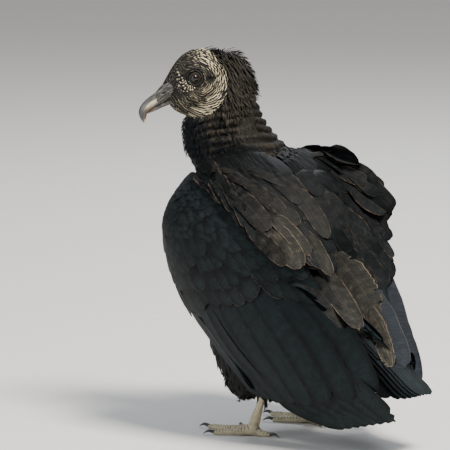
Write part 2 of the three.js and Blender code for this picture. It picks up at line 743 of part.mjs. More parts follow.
// Wings, legs and feet, side by side
const wingParts = [];
for (const [word, side] of [["left", LEFT], ["right", RIGHT]]) {
  const thigh = mainBody(thighSolid(side).subtract(bodyRun(GAP)));
  const thighCut = thighSolid(side, GAP);
  const body = fleshCut.add(thighCut);
  const wing = (plate, grow = 0) => wingPlate(WING_NET[word], side, plate, grow);
  const primaries = (grow = 0) => wingPlate(PRIMARY_NET[word], side, PRIMARY_PLATE, grow);
  const scapulars = (grow = 0) => fanSolid(SCAPULAR_FANS[word], side, SCAPULAR_SET, grow);
  const tertials = (grow = 0) => fanSolid(TERTIAL_FANS[word], side, TERTIAL_SET, grow);
  const covertCut = wing(COVERT_PLATE, GAP);
  const secondaryCut = wing(SECONDARY_PLATE, GAP);
  const wingCut = covertCut.add(secondaryCut);
  wingParts.push({
    [`wing_${word}_coverts`]: [mainBody(wing(COVERT_PLATE).subtract(body)), PLUMAGE],
    [`wing_${word}_secondaries`]: [
      mainBody(wing(SECONDARY_PLATE).subtract(body).subtract(covertCut)),
      FLIGHT,
    ],
    [`wing_${word}_primaries`]: [mainBody(primaries().subtract(body).subtract(wingCut)), FLIGHT],
    [`scapulars_${word}`]: [mainBody(scapulars().subtract(body).subtract(wingCut)), WEATHERED],
    [`tertials_${word}`]: [
      mainBody(tertials().subtract(body).subtract(wingCut).subtract(scapulars(GAP).add(primaries(GAP)))),
      WEATHERED,
    ],
    [`thigh_${word}`]: [thigh, PLUMAGE],
  });

  addMesh(`tarsus_${word}`, mainBody(tarsusSolid(side).subtract(thighCut)), SHANK);
  addMesh(`foot_${word}`, footSolid(side), SHANK);
  for (const toe of TOES) addMesh(`claw_${word}_${toe.name}`, clawSolid(toe, side), CLAW);
}
for (const group of wingParts) {
  for (const [name, [made, material]] of Object.entries(group)) addMesh(name, made, material);
}
addMesh("tail", mainBody(tailSolid().subtract(fleshCut)), FLIGHT);

// The origin is the middle of the bounding box's underside.
bird.updateMatrixWorld(true);
const box = new THREE.Box3().setFromObject(bird, true);
bird.position.set(-(box.min.x + box.max.x) / 2, -(box.min.y + box.max.y) / 2, -box.min.z);

export default bird;
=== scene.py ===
"""A life-size black vulture: one skin, a coat of feathers, bill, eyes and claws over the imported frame."""

import sys

import logging
import math
from contextlib import contextmanager
from dataclasses import dataclass, field
from enum import Enum, IntEnum
from typing import Iterator, Sequence

import bpy
import numpy as np
from mathutils import Matrix, Vector
from mathutils.bvhtree import BVHTree


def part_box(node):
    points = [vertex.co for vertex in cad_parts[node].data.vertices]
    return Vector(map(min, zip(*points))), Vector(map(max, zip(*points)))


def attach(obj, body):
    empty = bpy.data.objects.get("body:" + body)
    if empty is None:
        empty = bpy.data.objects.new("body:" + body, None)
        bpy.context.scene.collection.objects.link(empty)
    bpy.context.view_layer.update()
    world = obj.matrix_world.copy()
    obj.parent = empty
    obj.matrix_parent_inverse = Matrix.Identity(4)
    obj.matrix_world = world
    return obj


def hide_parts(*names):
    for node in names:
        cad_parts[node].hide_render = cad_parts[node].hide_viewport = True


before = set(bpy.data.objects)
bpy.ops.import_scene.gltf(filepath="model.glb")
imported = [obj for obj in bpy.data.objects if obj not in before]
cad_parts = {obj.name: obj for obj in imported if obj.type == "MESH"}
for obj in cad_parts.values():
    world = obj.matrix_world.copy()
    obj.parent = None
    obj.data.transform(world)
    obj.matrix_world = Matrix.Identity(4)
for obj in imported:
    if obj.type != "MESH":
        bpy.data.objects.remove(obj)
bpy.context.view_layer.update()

MM = 0.001
WELD = 0.01 * MM  # corners nearer than this are one
LOG = logging.getLogger("vulture")
SIDES = (("left", 1.0), ("right", -1.0))

Colour = tuple[float, float, float]
Place = tuple[float, float, float]
Array = np.ndarray
Inputs = dict[str | int, object]  # values or sockets for a node's inputs, by name or number


class Seed(IntEnum):
    """Where the random draws of each kind of coat start."""

    BODY = 100
    COVERTS = 300
    SECONDARIES = 320
    PRIMARIES = 340
    TAIL = 360
    SCAPULARS = 400
    TERTIALS = 420
    SINGLE = 440


# ---------------------------------------------------------------- places
@dataclass(frozen=True)
class Placement:
    """A local frame in millimetres, held as an origin in metres and three unit axes as rows."""

    origin: Array
    axes: Array

    def world(self, points: Array) -> Array:
        """Turns local millimetres into metres of the row frame."""
        return self.origin + MM * np.asarray(points, float) @ self.axes

    def local(self, points: Array) -> Array:
        """Turns metres of the row frame into local millimetres."""
        return (np.asarray(points, float) - self.origin) @ self.axes.T / MM


def box_middle(node: str) -> Array:
    """The middle of a CAD node's box, in metres."""
    low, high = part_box(node)
    return (np.array(low) + np.array(high)) / 2


def head_placement(dip: float) -> Placement:
    """The head's frame, from where its eyes are.

    Args:
        dip: how far the bill points below the horizontal, in radians.

    Returns:
        A frame midway between the eyes with X to the bill, Y to the head's left and Z up.
    """
    left, right = box_middle("eye_left"), box_middle("eye_right")
    side = (left - right) / np.linalg.norm(left - right)
    ahead = np.cross(side, [0.0, 0.0, 1.0])
    forward = math.cos(dip) * ahead - math.sin(dip) * np.array([0.0, 0.0, 1.0])
    return Placement((left + right) / 2, np.array([forward, side, np.cross(forward, side)]))


HEAD = head_placement(math.radians(30.0))
HEAD_PLACE = np.array([41.6, -93.6, 410.0])  # the head's origin in the bird's own millimetres
BIRD = Placement(HEAD.origin - HEAD_PLACE * MM, np.eye(3))


@dataclass(frozen=True)
class ViewPlane:
    """The camera's place and its picture plane, in a picture of a fixed size."""

    azimuth: float = math.radians(133.0)
    elevation: float = math.radians(9.0)
    distance: float = 6.0
    picture: int = 450
    scale: float = 1.15 * MM  # metres for each pixel at the aim's distance
    aim_right: float = 34.5 * MM
    aim_down: float = 171.35 * MM

    @property
    def right(self) -> Array:
        """The picture's direction to the right."""
        return np.array([math.cos(self.azimuth), math.sin(self.azimuth), 0.0])

    @property
    def back(self) -> Array:
        """The direction from the aim to the camera."""
        flat = math.cos(self.elevation)
        return np.array(
            [math.sin(self.azimuth) * flat, -math.cos(self.azimuth) * flat, math.sin(self.elevation)]
        )

    @property
    def up(self) -> Array:
        """The picture's direction upwards."""
        return np.cross(self.back, self.right)

    @property
    def aim(self) -> Array:
        """The point that the camera looks at."""
        return box_middle("eye_left") + self.aim_right * self.right - self.aim_down * self.up

    @property
    def eye(self) -> Array:
        """The camera's own place."""
        return self.aim + self.distance * self.back

    def ray(self, pixel: Array) -> Array:
        """The unit direction from the camera through a pixel.

        Args:
            pixel: the pixel's place across and down, in the picture.

        Returns:
            The direction.
        """
        across, down = (np.asarray(pixel, float) - self.picture / 2) * self.scale
        through = self.aim + across * self.right - down * self.up - self.eye
        return through / np.linalg.norm(through)


VIEW = ViewPlane()


# ---------------------------------------------------------------- mesh tools
def unit(vectors: Array) -> Array:
    """Scales vectors along the last axis to length one."""
    return vectors / np.maximum(np.linalg.norm(vectors, axis=-1, keepdims=True), 1e-12)


def swell(distance: Array, width: float) -> Array:
    """A round swelling that is one at no distance and fades over a width."""
    return np.exp(-((distance / width) ** 2))


def ease(value: Array, low: float, high: float) -> Array:
    """A smooth step from zero at low to one at high."""
    share = np.clip((value - low) / (high - low), 0.0, 1.0)
    return share * share * (3 - 2 * share)


def deselect_all() -> None:
    """Leaves edit mode and clears the selection."""
    if bpy.context.object is not None and bpy.context.object.mode != "OBJECT":
        bpy.ops.object.mode_set(mode="OBJECT")
    bpy.ops.object.select_all(action="DESELECT")


def take_up(obj: bpy.types.Object) -> None:
    """Makes an object the only selected one, and the active one.

    Args:
        obj: the object.
    """
    deselect_all()
    obj.select_set(True)
    bpy.context.view_layer.objects.active = obj


@contextmanager
def editing(obj: bpy.types.Object, whole: bool = True) -> Iterator[None]:
    """Opens edit mode on an object.

    Args:
        obj: the object.
        whole: whether all of it is selected first. Otherwise its own selection stays.

    Yields:
        Nothing, while edit mode is open.
    """
    take_up(obj)
    bpy.ops.object.mode_set(mode="EDIT")
    if whole:
        bpy.ops.mesh.select_all(action="SELECT")
    yield
    bpy.ops.object.mode_set(mode="OBJECT")


def read(items: bpy.types.bpy_prop_collection, what: str, width: int = 3) -> Array:
    """Reads one property of all items, as one row of numbers for each.

    Args:
        items: the items, such as a mesh's vertices.
        what: the property's name.
        width: how many numbers it holds.

    Returns:
        The rows.
    """
    flat = np.empty(len(items) * width, np.float32)
    items.foreach_get(what, flat)
    return flat.reshape(-1, width).astype(float)


def points_of(mesh: bpy.types.Mesh) -> Array:
    """The vertices of a mesh, as an array of points."""
    return read(mesh.vertices, "co")


def normals_of(mesh: bpy.types.Mesh) -> Array:
    """The vertex normals of a mesh."""
    return read(mesh.vertex_normals, "vector")


def move_points(mesh: bpy.types.Mesh, points: Array) -> None:
    """Puts a mesh's vertices at new places."""
    mesh.vertices.foreach_set("co", points.astype(np.float32).ravel())
    mesh.update()


def store(mesh: bpy.types.Mesh, name: str, values: Array) -> None:
    """Stores one number or one vector for each vertex under an attribute's name.

    Args:
        mesh: the mesh.
        name: the attribute's name.
        values: one number, or one row of three, for each vertex.
    """
    kind = "FLOAT" if values.ndim == 1 else "FLOAT_VECTOR"
    attribute = mesh.attributes.get(name) or mesh.attributes.new(name, kind, "POINT")
    attribute.data.foreach_set("value" if values.ndim == 1 else "vector", values.astype(np.float32).ravel())


def select_points(obj: bpy.types.Object, chosen: Array) -> None:
    """Selects the vertices in a mask, and what they bound, ready for edit mode.

    Args:
        obj: the mesh's object.
        chosen: the mask, one value for each vertex.
    """
    mesh = obj.data
    mesh.vertices.foreach_set("select", chosen.astype(bool))
    edges = np.empty(len(mesh.edges) * 2, np.int32)
    mesh.edges.foreach_get("vertices", edges)
    mesh.edges.foreach_set("select", chosen[edges.reshape(-1, 2)].all(axis=1))
    faces = [all(chosen[v] for v in polygon.vertices) for polygon in mesh.polygons]
    mesh.polygons.foreach_set("select", faces)


def apply_modifier(obj: bpy.types.Object, kind: str, **settings: object) -> None:
    """Adds a modifier with its settings and applies it.

    Args:
        obj: the object.
        kind: the modifier's type.
        settings: its settings by name.
    """
    take_up(obj)
    modifier = obj.modifiers.new(kind.lower(), kind)
    for name, value in settings.items():
        setattr(modifier, name, value)
    bpy.ops.object.modifier_apply(modifier=modifier.name)


def tree_of(mesh: bpy.types.Mesh) -> BVHTree:
    """A search tree over a mesh's faces."""
    polygons = [tuple(p.vertices) for p in mesh.polygons]
    return BVHTree.FromPolygons([tuple(v.co) for v in mesh.vertices], polygons)


def new_object(mesh: bpy.types.Mesh) -> bpy.types.Object:
    """Adds an object for a mesh, under the mesh's own name.

    Args:
        mesh: the mesh.

    Returns:
        The object.
    """
    obj = bpy.data.objects.new(mesh.name, mesh)
    bpy.context.scene.collection.objects.link(obj)
    return obj


def healed_copy(node: str) -> bpy.types.Object:
    """A copy of a CAD node whose faces share their corners and face outwards.

    Args:
        node: the node's name.

    Returns:
        The copy.
    """
    copy = new_object(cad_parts[node].data.copy())
    with editing(copy):
        bpy.ops.mesh.remove_doubles(threshold=WELD)
        bpy.ops.mesh.normals_make_consistent(inside=False)
    return copy


def joined(pieces: Sequence[bpy.types.Object], name: str) -> bpy.types.Object:
    """Joins pieces into the first of them, shaded smooth, under one name.

    Args:
        pieces: the pieces.
        name: the whole's name.

    Returns:
        The first piece, which now holds all.
    """
    take_up(pieces[0])
    for piece in pieces:
        piece.select_set(True)
    bpy.ops.object.join()
    pieces[0].name = name
    bpy.ops.object.shade_smooth()
    return pieces[0]


def finish_piece(
    obj: bpy.types.Object, material: bpy.types.Material, nodes: Sequence[str]
) -> None:
    """Dresses a piece and ties it to the frame.

    Args:
        obj: the piece, at the origin.
        material: its material.
        nodes: the CAD nodes that the piece stands for.
    """
    obj.data.materials.clear()
    obj.data.materials.append(material)
    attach(obj, "root")
    if nodes:
        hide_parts(*nodes)
    triangles = sum(len(p.vertices) - 2 for p in obj.data.polygons)
    LOG.info("%s: %d triangles", obj.name, triangles)


# ---------------------------------------------------------------- shader nodes
class Sheet:
    """Adds nodes to a tree and joins them."""

    def __init__(self, tree: bpy.types.NodeTree) -> None:
        """Keeps the tree that nodes are added to."""
        self.tree = tree

    def add(self, kind: str, inputs: Inputs | None = None, **settings: object) -> bpy.types.Node:
        """Adds a node.

        Args:
            kind: the node's type name.
            inputs: values or sockets for its inputs, by name or number.
            settings: properties of the node.

        Returns:
            The new node.
        """
        node = self.tree.nodes.new(kind)
        for name, value in settings.items():
            setattr(node, name, value)
        self.feed_all(node, inputs or {})
        return node

    def feed(self, socket: bpy.types.NodeSocket, value: object) -> None:
        """Links a socket to another, or sets its value.

        Args:
            socket: the input.
            value: a socket, a number or a colour.
        """
        if isinstance(value, bpy.types.NodeSocket):
            self.tree.links.new(value, socket)
        elif isinstance(value, tuple) and socket.type == "RGBA":
            socket.default_value = (*value, 1.0)
        else:
            socket.default_value = value

    def feed_all(self, node: bpy.types.Node, inputs: Inputs) -> None:
        """Feeds several inputs of a node, by name or number.

        Args:
            node: the node.
            inputs: values or sockets.
        """
        for name, value in inputs.items():
            self.feed(node.inputs[name], value)

    def math(self, operation: str, a: object, b: object = 0.0, clamp: bool = False) -> bpy.types.NodeSocket:
        """The result of a math node.

        Args:
            operation: what it does.
            a: the first value.
            b: the second value.
            clamp: whether the result is held between zero and one.

        Returns:
            The result's socket.
        """
        return self.add("ShaderNodeMath", {0: a, 1: b}, operation=operation, use_clamp=clamp).outputs[0]

    def times(self, a: object, b: object) -> bpy.types.NodeSocket:
        """The product of two values."""
        return self.math("MULTIPLY", a, b)

    def plus(self, a: object, b: object, clamp: bool = False) -> bpy.types.NodeSocket:
        """The sum of two values."""
        return self.math("ADD", a, b, clamp)

    def minus(self, a: object, b: object) -> bpy.types.NodeSocket:
        """The first value less the second."""
        return self.math("SUBTRACT", a, b)

    def mix(self, share: object, a: object, b: object) -> bpy.types.NodeSocket:
        """The colour between two colours.

        Args:
            share: how much of the second colour shows.
            a: the first colour.
            b: the second colour.

        Returns:
            The result's socket.
        """
        node = self.add("ShaderNodeMix", data_type="RGBA")
        for name, value in (("Factor_Float", share), ("A_Color", a), ("B_Color", b)):
            self.feed(next(s for s in node.inputs if s.identifier == name), value)
        return next(s for s in node.outputs if s.identifier == "Result_Color")

    def step(
        self, value: object, low: float, high: float, to_low: float = 0.0, to_high: float = 1.0
    ) -> bpy.types.NodeSocket:
        """A smooth change from one value to another as the input goes from low to high.

        Args:
            value: the input.
            low: where the change starts.
            high: where it ends.
            to_low: the result before it starts.
            to_high: the result after its end.

        Returns:
            The result's socket.
        """
        inputs = {"Value": value, "From Min": low, "From Max": high, "To Min": to_low, "To Max": to_high}
        return self.add("ShaderNodeMapRange", inputs, interpolation_type="SMOOTHSTEP").outputs["Result"]

    def noise(self, vector: object, scale: float, detail: float = 3.0) -> bpy.types.NodeSocket:
        """The value of a noise texture.

        Args:
            vector: where it is read.
            scale: its scale.
            detail: how many finer layers it has.

        Returns:
            The result's socket.
        """
        inputs = {"Vector": vector, "Scale": scale, "Detail": detail, "Roughness": 0.55}
        return self.add("ShaderNodeTexNoise", inputs).outputs[0]

    def number(self, name: str) -> bpy.types.NodeSocket:
        """A number held by each vertex, by its attribute's name."""
        return self.add("ShaderNodeAttribute", attribute_name=name).outputs["Fac"]

    def vector(self, name: str) -> bpy.types.NodeSocket:
        """A vector held by each vertex, by its attribute's name."""
        return self.add("ShaderNodeAttribute", attribute_name=name).outputs["Vector"]

    def object_place(self) -> bpy.types.NodeSocket:
        """The object's own coordinates."""
        return self.add("ShaderNodeTexCoord").outputs["Object"]

    def combined(self, x: object, y: object, z: object) -> bpy.types.NodeSocket:
        """A vector from three numbers."""
        return self.add("ShaderNodeCombineXYZ", {0: x, 1: y, 2: z}).outputs[0]

    def parts(self, vector: object) -> tuple[bpy.types.NodeSocket, ...]:
        """The three numbers of a vector."""
        return tuple(self.add("ShaderNodeSeparateXYZ", {0: vector}).outputs)

    def stretched(self, vector: object, scale: Colour) -> bpy.types.NodeSocket:
        """A vector scaled axis by axis."""
        return self.add("ShaderNodeVectorMath", {0: vector, 1: scale}, operation="MULTIPLY").outputs[0]


class Group(Sheet):
    """A shader node group that gives out a colour, a height for the bump and a roughness."""

    def __init__(self, name: str, inputs: dict[str, Colour | float | None]) -> None:
        """Starts the group.

        Args:
            name: the group's name.
            inputs: each input's value when nothing is fed to it: a colour, a number, or None for a vector.
        """
        super().__init__(bpy.data.node_groups.new(name, "ShaderNodeTree"))
        for label, value in inputs.items():
            kind = {type(None): "Vector", tuple: "Color", float: "Float"}[type(value)]
            socket = self.tree.interface.new_socket(label, in_out="INPUT", socket_type=f"NodeSocket{kind}")
            if value is not None:
                socket.default_value = (*value, 1.0) if isinstance(value, tuple) else value
        for label, kind in (("Color", "Color"), ("Height", "Float"), ("Roughness", "Float")):
            self.tree.interface.new_socket(label, in_out="OUTPUT", socket_type=f"NodeSocket{kind}")
        self.given = self.add("NodeGroupInput").outputs
        self.made = self.add("NodeGroupOutput")

    def give(self, colour: object, height: object, roughness: object) -> bpy.types.NodeTree:
        """Feeds the group's outputs and returns the finished group."""
        self.feed_all(self.made, {"Color": colour, "Height": height, "Roughness": roughness})
        return self.tree


SHADE: Colour = (0.002, 0.002, 0.002)  # painted shade: the colour of what lies under other feathers or in a fold
BLACKEST: Colour = (0.0, 0.0, 0.0)
SEED_SPREAD = 37.0  # sets each feather's patterns apart
BARBS = 1100.0  # for each metre along the shaft
BARB_SLANT = 9.0
BLOTCHES = 90.0
RUBS_ALONG, RUBS_ACROSS = 48.0, 15.0
# the shaft's paleness, and how far the painted shade in a vane's tone darkens it
SHAFT_PALENESS, PAINTED_SHADE_DEPTH = 0.05, 0.85


def vane_group() -> bpy.types.NodeTree:
    """The colours of a feather's vane: barbs, shaft, worn edge, weathering and painted shade.

    Returns:
        A group whose inputs are the vane's own coordinates and its colours.
    """
    sheet = Group(
        "feather_vane",
        {
            "Vane": None,
            "Tone": None,
            "Base": (0.012, 0.012, 0.014),
            "Worn": (0.05, 0.04, 0.03),
            "Edge": (0.1, 0.08, 0.06),
            "Scuff": (0.05, 0.05, 0.05),
            "Streak": 0.5,
            "Edge Width": 0.12,
            "Side Shade": 0.2,
            "Root Shade": 0.2,
        },
    )
    given, times, plus, minus = sheet.given, sheet.times, sheet.plus, sheet.minus
    step, mix = sheet.step, sheet.mix
    across, along, seed = sheet.parts(given["Vane"])
    # the tone holds wear, share along the feather, and painted shade
    weather, share, painted_shade = sheet.parts(given["Tone"])
    side = sheet.math("ABSOLUTE", across)
    seeded = times(seed, SEED_SPREAD)
    slanted = minus(times(along, BARBS), times(side, BARB_SLANT))
    barbs = sheet.noise(sheet.combined(slanted, side, seeded), 1.0, 2.0)
    blotch = sheet.noise(sheet.combined(times(along, BLOTCHES), across, seeded), 1.3)
    worn = plus(weather, times(minus(blotch, 0.5), 1.3), clamp=True)
    body = mix(worn, given["Base"], given["Worn"])
    # painted shade: darker towards the vane's sides, as if its neighbours shaded it
    turned = times(step(side, 0.35, 0.95), given["Side Shade"])
    # painted shadow: darker near the root, under the tip of the feather above
    covered = times(step(share, 0.85, 0.45), given["Root Shade"])
    body = mix(sheet.math("MAXIMUM", turned, covered), body, SHADE)
    rim = sheet.math("MAXIMUM", side, step(share, 0.75, 1.03))
    rim_from = minus(1.0, times(given["Edge Width"], plus(blotch, 0.5)))
    edge = times(sheet.math("GREATER_THAN", rim, rim_from), step(worn, 0.05, 0.7))
    edged = mix(edge, body, given["Edge"])
    rubbed_place = sheet.combined(times(along, RUBS_ALONG), times(across, RUBS_ACROSS), seeded)
    rubbed = times(step(sheet.noise(rubbed_place, 1.0, 2.0), 0.52, 0.64), step(worn, 0.4, 0.9, 0.0, 0.32))
    scuffed = mix(rubbed, edged, given["Scuff"])
    streaked = mix(times(given["Streak"], step(barbs, 0.3, 0.75)), scuffed, BLACKEST)
    shaft = step(side, 0.09, 0.02)
    shafted = mix(times(shaft, SHAFT_PALENESS), streaked, given["Edge"])
    # painted shade, as deep as the tone's third part says
    shaded = mix(times(painted_shade, PAINTED_SHADE_DEPTH), shafted, SHADE)
    return sheet.give(shaded, plus(barbs, times(shaft, 0.6)), step(worn, 0.0, 1.0, 0.5, 0.75))


def wrinkle_group() -> bpy.types.NodeTree:
    """The colours of bare skin: dark furrows, paler ridges, fine pores.

    Returns:
        A group whose inputs are ridge height, paleness and the colours of furrow and ridge.
    """
    sheet = Group(
        "bare_skin",
        {
            "Ridge": 0.5,
            "Pale": 0.5,
            "Place": None,
            "Furrow": (0.01, 0.01, 0.01),
            "Dark Ridge": (0.06, 0.055, 0.045),
            "Pale Ridge": (0.4, 0.36, 0.28),
        },
    )
    given = sheet.given
    pores = sheet.noise(given["Place"], 1400.0, 2.0)
    patches = sheet.noise(given["Place"], 160.0)
    top = sheet.mix(given["Pale"], given["Dark Ridge"], given["Pale Ridge"])
    varied = sheet.mix(sheet.step(patches, 0.4, 0.75, 0.0, 0.35), top, given["Dark Ridge"])
    height = sheet.plus(given["Ridge"], sheet.times(sheet.minus(pores, 0.5), 0.5))
    colour = sheet.mix(sheet.step(height, 0.4, 0.85), given["Furrow"], varied)
    relief = sheet.plus(pores, sheet.times(patches, 0.5))
    return sheet.give(colour, relief, sheet.step(given["Ridge"], 0.0, 1.0, 0.75, 0.5))


def growth_group() -> bpy.types.NodeTree:
    """Lines that run along horn as it grew, with a change of colour along its length.

    Returns:
        A group whose inputs are a place in millimetres, a share along the horn and its colours.
    """
    colours = {"Root": (0.03, 0.028, 0.026), "Tip": (0.3, 0.26, 0.18)}
    sheet = Group("horn_growth", {"Place": None, "Share": 0.5, **colours})
    given = sheet.given
    lines = sheet.noise(sheet.stretched(given["Place"], (0.10, 1.0, 0.9)), 1.1)
    stain = sheet.noise(sheet.stretched(given["Place"], (0.25, 0.3, 0.3)), 0.9, 2.0)
    share = sheet.plus(given["Share"], sheet.times(sheet.minus(lines, 0.5), 0.7))
    colour = sheet.mix(sheet.step(share, 0.1, 0.9), given["Root"], given["Tip"])
    worn = sheet.mix(sheet.step(stain, 0.4, 0.8, 0.0, 0.5), colour, given["Root"])
    return sheet.give(worn, lines, sheet.step(stain, 0.2, 0.8, 0.25, 0.45))


VANE_GROUP = vane_group()
WRINKLE_GROUP = wrinkle_group()
GROWTH_GROUP = growth_group()


class Paint(Sheet):
    """A material's sheet, with its Principled shader."""

    def __init__(self, name: str) -> None:
        """Starts a material of that name.

        Args:
            name: the material's name.
        """
        self.material = bpy.data.materials.new(name)
        self.material.use_nodes = True
        self.material.node_tree.nodes.clear()
        super().__init__(self.material.node_tree)
        self.shader = self.add("ShaderNodeBsdfPrincipled")
        self.add("ShaderNodeOutputMaterial", {"Surface": self.shader.outputs[0]})

    def shade(self, **values: object) -> bpy.types.Material:
        """Feeds the shader's inputs.

        Args:
            values: values or sockets, each by its input's name in small letters with low dashes for spaces.

        Returns:
            The material.
        """
        words = {"Ior": "IOR"}
        for name, value in values.items():
            label = " ".join(words.get(word, word) for word in name.title().split("_"))
            self.feed(self.shader.inputs[label], value)
        return self.material

    def group(self, tree: bpy.types.NodeTree, inputs: Inputs) -> bpy.types.NodeOutputs:
        """Adds a group and feeds it, which can be done only once its tree is set.

        Args:
            tree: the group's tree.
            inputs: values or sockets for its inputs.

        Returns:
            The group's outputs.
        """
        node = self.add("ShaderNodeGroup", node_tree=tree)
        self.feed_all(node, inputs)
        return node.outputs

    def bump(self, strength: float, depth: float, height: object) -> None:
        """Bends the shader's normals by a height, as deep in metres as depth says.

        Args:
            strength: how strong it is.
            depth: its depth in metres.
            height: the height.
        """
        relief = self.add("ShaderNodeBump", {"Strength": strength, "Distance": depth, "Height": height})
        self.shade(normal=relief.outputs[0])

    def wear(self, tree: bpy.types.NodeTree, inputs: Inputs, strength: float, depth: float) -> None:
        """Adds a group and feeds its colour, roughness and height into the shader.

        Args:
            tree: the group's tree.
            inputs: values or sockets for its inputs.
            strength: the strength of the bump.
            depth: the bump's height in metres.
        """
        outputs = self.group(tree, inputs)
        self.shade(base_color=outputs["Color"], roughness=outputs["Roughness"])
        self.bump(strength, depth, outputs["Height"])


@dataclass(frozen=True)
class VaneFinish:
    """The finish of one kind of feather."""

    name: str
    base: Colour
    worn: Colour
    edge: Colour
    scuff: Colour = (0.035, 0.036, 0.035)
    streak: float = 0.45
    edge_width: float = 0.12
    turn: float = 0.25  # painted shade: how much darker the vane is at its sides
    covered: float = 0.25  # painted shadow: how much darker it is near the feather that covers its root
    sheen: float = 0.025
    sheen_tint: Colour = (0.55, 0.65, 0.9)
    specular: float = 0.12

    def material(self) -> bpy.types.Material:
        """Makes the material, which reads the attributes vane and tone.

        Returns:
            The material.
        """
        paint = Paint(self.name)
        own = {
            "Base": self.base,
            "Worn": self.worn,
            "Edge": self.edge,
            "Scuff": self.scuff,
            "Streak": self.streak,
            "Edge Width": self.edge_width,
            "Side Shade": self.turn,
            "Root Shade": self.covered,
        }
        given = {"Vane": paint.vector("vane"), "Tone": paint.vector("tone")}
        paint.wear(VANE_GROUP, given | own, 0.35, 0.3 * MM)
        sheen = {"sheen_weight": self.sheen, "sheen_roughness": 0.4, "sheen_tint": self.sheen_tint}
        return paint.shade(specular_ior_level=self.specular, **sheen)


@dataclass(frozen=True)
class SkinFinish:
    """The finish of bare skin and of the skin under the coat."""

    name: str = "bare_skin"
    furrow: Colour = (0.006, 0.0055, 0.005)
    dark_ridge: Colour = (0.066, 0.059, 0.045)
    pale_ridge: Colour = (0.92, 0.79, 0.53)

    def material(self) -> bpy.types.Material:
        """Makes the material, which reads the attributes ridge and pale.

        Returns:
            The material.
        """
        paint = Paint(self.name)
        own = {"Furrow": self.furrow, "Dark Ridge": self.dark_ridge, "Pale Ridge": self.pale_ridge}
        given = {"Ridge": paint.number("ridge"), "Pale": paint.number("pale"), "Place": paint.object_place()}
        paint.wear(WRINKLE_GROUP, given | own, 0.4, 0.25 * MM)
        return paint.shade(specular_ior_level=0.22)


@dataclass(frozen=True)
class HornFinish:
    """The finish of the claws."""

    name: str
    root: Colour
    tip: Colour
    coat: float = 0.25

    def material(self) -> bpy.types.Material:
        """Makes the material, which reads the attributes place and share.

        Returns:
            The material.
        """
        paint = Paint(self.name)
        given = {"Place": paint.vector("place"), "Share": paint.number("share")}
        paint.wear(GROWTH_GROUP, given | {"Root": self.root, "Tip": self.tip}, 0.3, 0.2 * MM)
        return paint.shade(coat_weight=self.coat, coat_roughness=0.2)


@dataclass(frozen=True)
class EyeFinish:
    """The finish of the eyeball: pupil, iris and dark rim under a wet surface."""

    name: str = "eye"
    pupil: Colour = (0.002, 0.002, 0.003)
    iris: Colour = (0.036, 0.011, 0.005)
    rim: Colour = (0.004, 0.003, 0.003)
    pupil_share: float = 0.36
    iris_share: float = 0.62

    def material(self) -> bpy.types.Material:
        """Makes the material, which reads the attribute share: zero at the eye's axis and one at its side.

        Returns:
            The material.
        """
        paint = Paint(self.name)
        share = paint.number("share")
        fibres = paint.noise(paint.object_place(), 2500.0)
        iris = paint.mix(paint.step(fibres, 0.3, 0.7, 0.0, 0.5), self.iris, self.rim)
        ring = paint.mix(paint.step(share, self.pupil_share, self.pupil_share + 0.05), self.pupil, iris)
        ball = paint.mix(paint.step(share, self.iris_share, self.iris_share + 0.08), ring, self.rim)
        wet = {"coat_weight": 0.5, "coat_roughness": 0.02}
        return paint.shade(base_color=ball, roughness=0.12, specular_ior_level=0.3, **wet)


@dataclass(frozen=True)
class BillFinish:
    """The finish of the bill: a dull folded cere and glossy horn that turns from slate to ivory."""

    name: str = "bill_horn"
    slate: Colour = (0.035, 0.038, 0.043)
    ivory: Colour = (0.7, 0.62, 0.46)
    amber: Colour = (0.2, 0.085, 0.03)
    cere_dark: Colour = (0.02, 0.019, 0.018)
    cere_pale: Colour = (0.17, 0.155, 0.125)

    def material(self) -> bpy.types.Material:
        """Makes the material, which reads the attributes place, share, cere and warm.

        Returns:
            The material.
        """
        paint = Paint(self.name)
        place, cere, warm = paint.vector("place"), paint.number("cere"), paint.number("warm")
        given = {"Place": place, "Share": paint.number("share"), "Root": self.slate, "Tip": self.ivory}
        horn = paint.group(GROWTH_GROUP, given)
        streaks = paint.noise(paint.stretched(place, (0.16, 0.8, 0.8)), 1.0)
        folded = paint.mix(paint.step(streaks, 0.42, 0.68), self.cere_dark, self.cere_pale)
        amber = paint.mix(paint.times(warm, 0.75), horn["Color"], self.amber)
        pale_tip = paint.mix(paint.step(warm, 0.93, 1.0), amber, self.ivory)
        rough = paint.plus(horn["Roughness"], paint.times(cere, 0.22))
        paint.bump(0.3, 0.2 * MM, paint.plus(horn["Height"], paint.times(cere, streaks)))
        colour = paint.mix(cere, pale_tip, folded)
        return paint.shade(base_color=colour, roughness=rough, coat_weight=0.25, coat_roughness=0.2)


# ---------------------------------------------------------------- skin
def wave_warp(points: Array, size: float) -> Array:
    """A slow, repeatable wander from minus one to one, in features of about a size.

    Args:
        points: places, in the unit of size.
        size: how large the features are.

    Returns:
        One number for each place.
    """
    x, y, z = (points / size * 2.2).T
    total = np.sin(1.3 * x + 0.7 * z + 0.4) + np.sin(0.9 * y - 1.1 * x + 1.9)
    total += np.sin(1.2 * z + 0.8 * y + 3.1) + 0.6 * np.sin(2.3 * x - 1.7 * z + 1.1 * y + 0.6)
    return total / 3.6


SCRAMBLE = ((127.1, 311.7), (269.5, 183.3))  # factors that turn a bead's row and column into chance numbers
SCRAMBLE_SIZE = 43758.5453


def scrambled(row: Array, column: Array, seed: float) -> tuple[Array, Array]:
    """Two repeatable chance numbers from zero to one for each row and column.

    Args:
        row: the rows.
        column: the columns.
        seed: shifts the numbers.

    Returns:
        The first number and the second.
    """
    first, other = (
        np.mod(np.sin(row * by_row + column * by_column + seed) * SCRAMBLE_SIZE, 1.0)
        for by_row, by_column in SCRAMBLE
    )
    return first, other


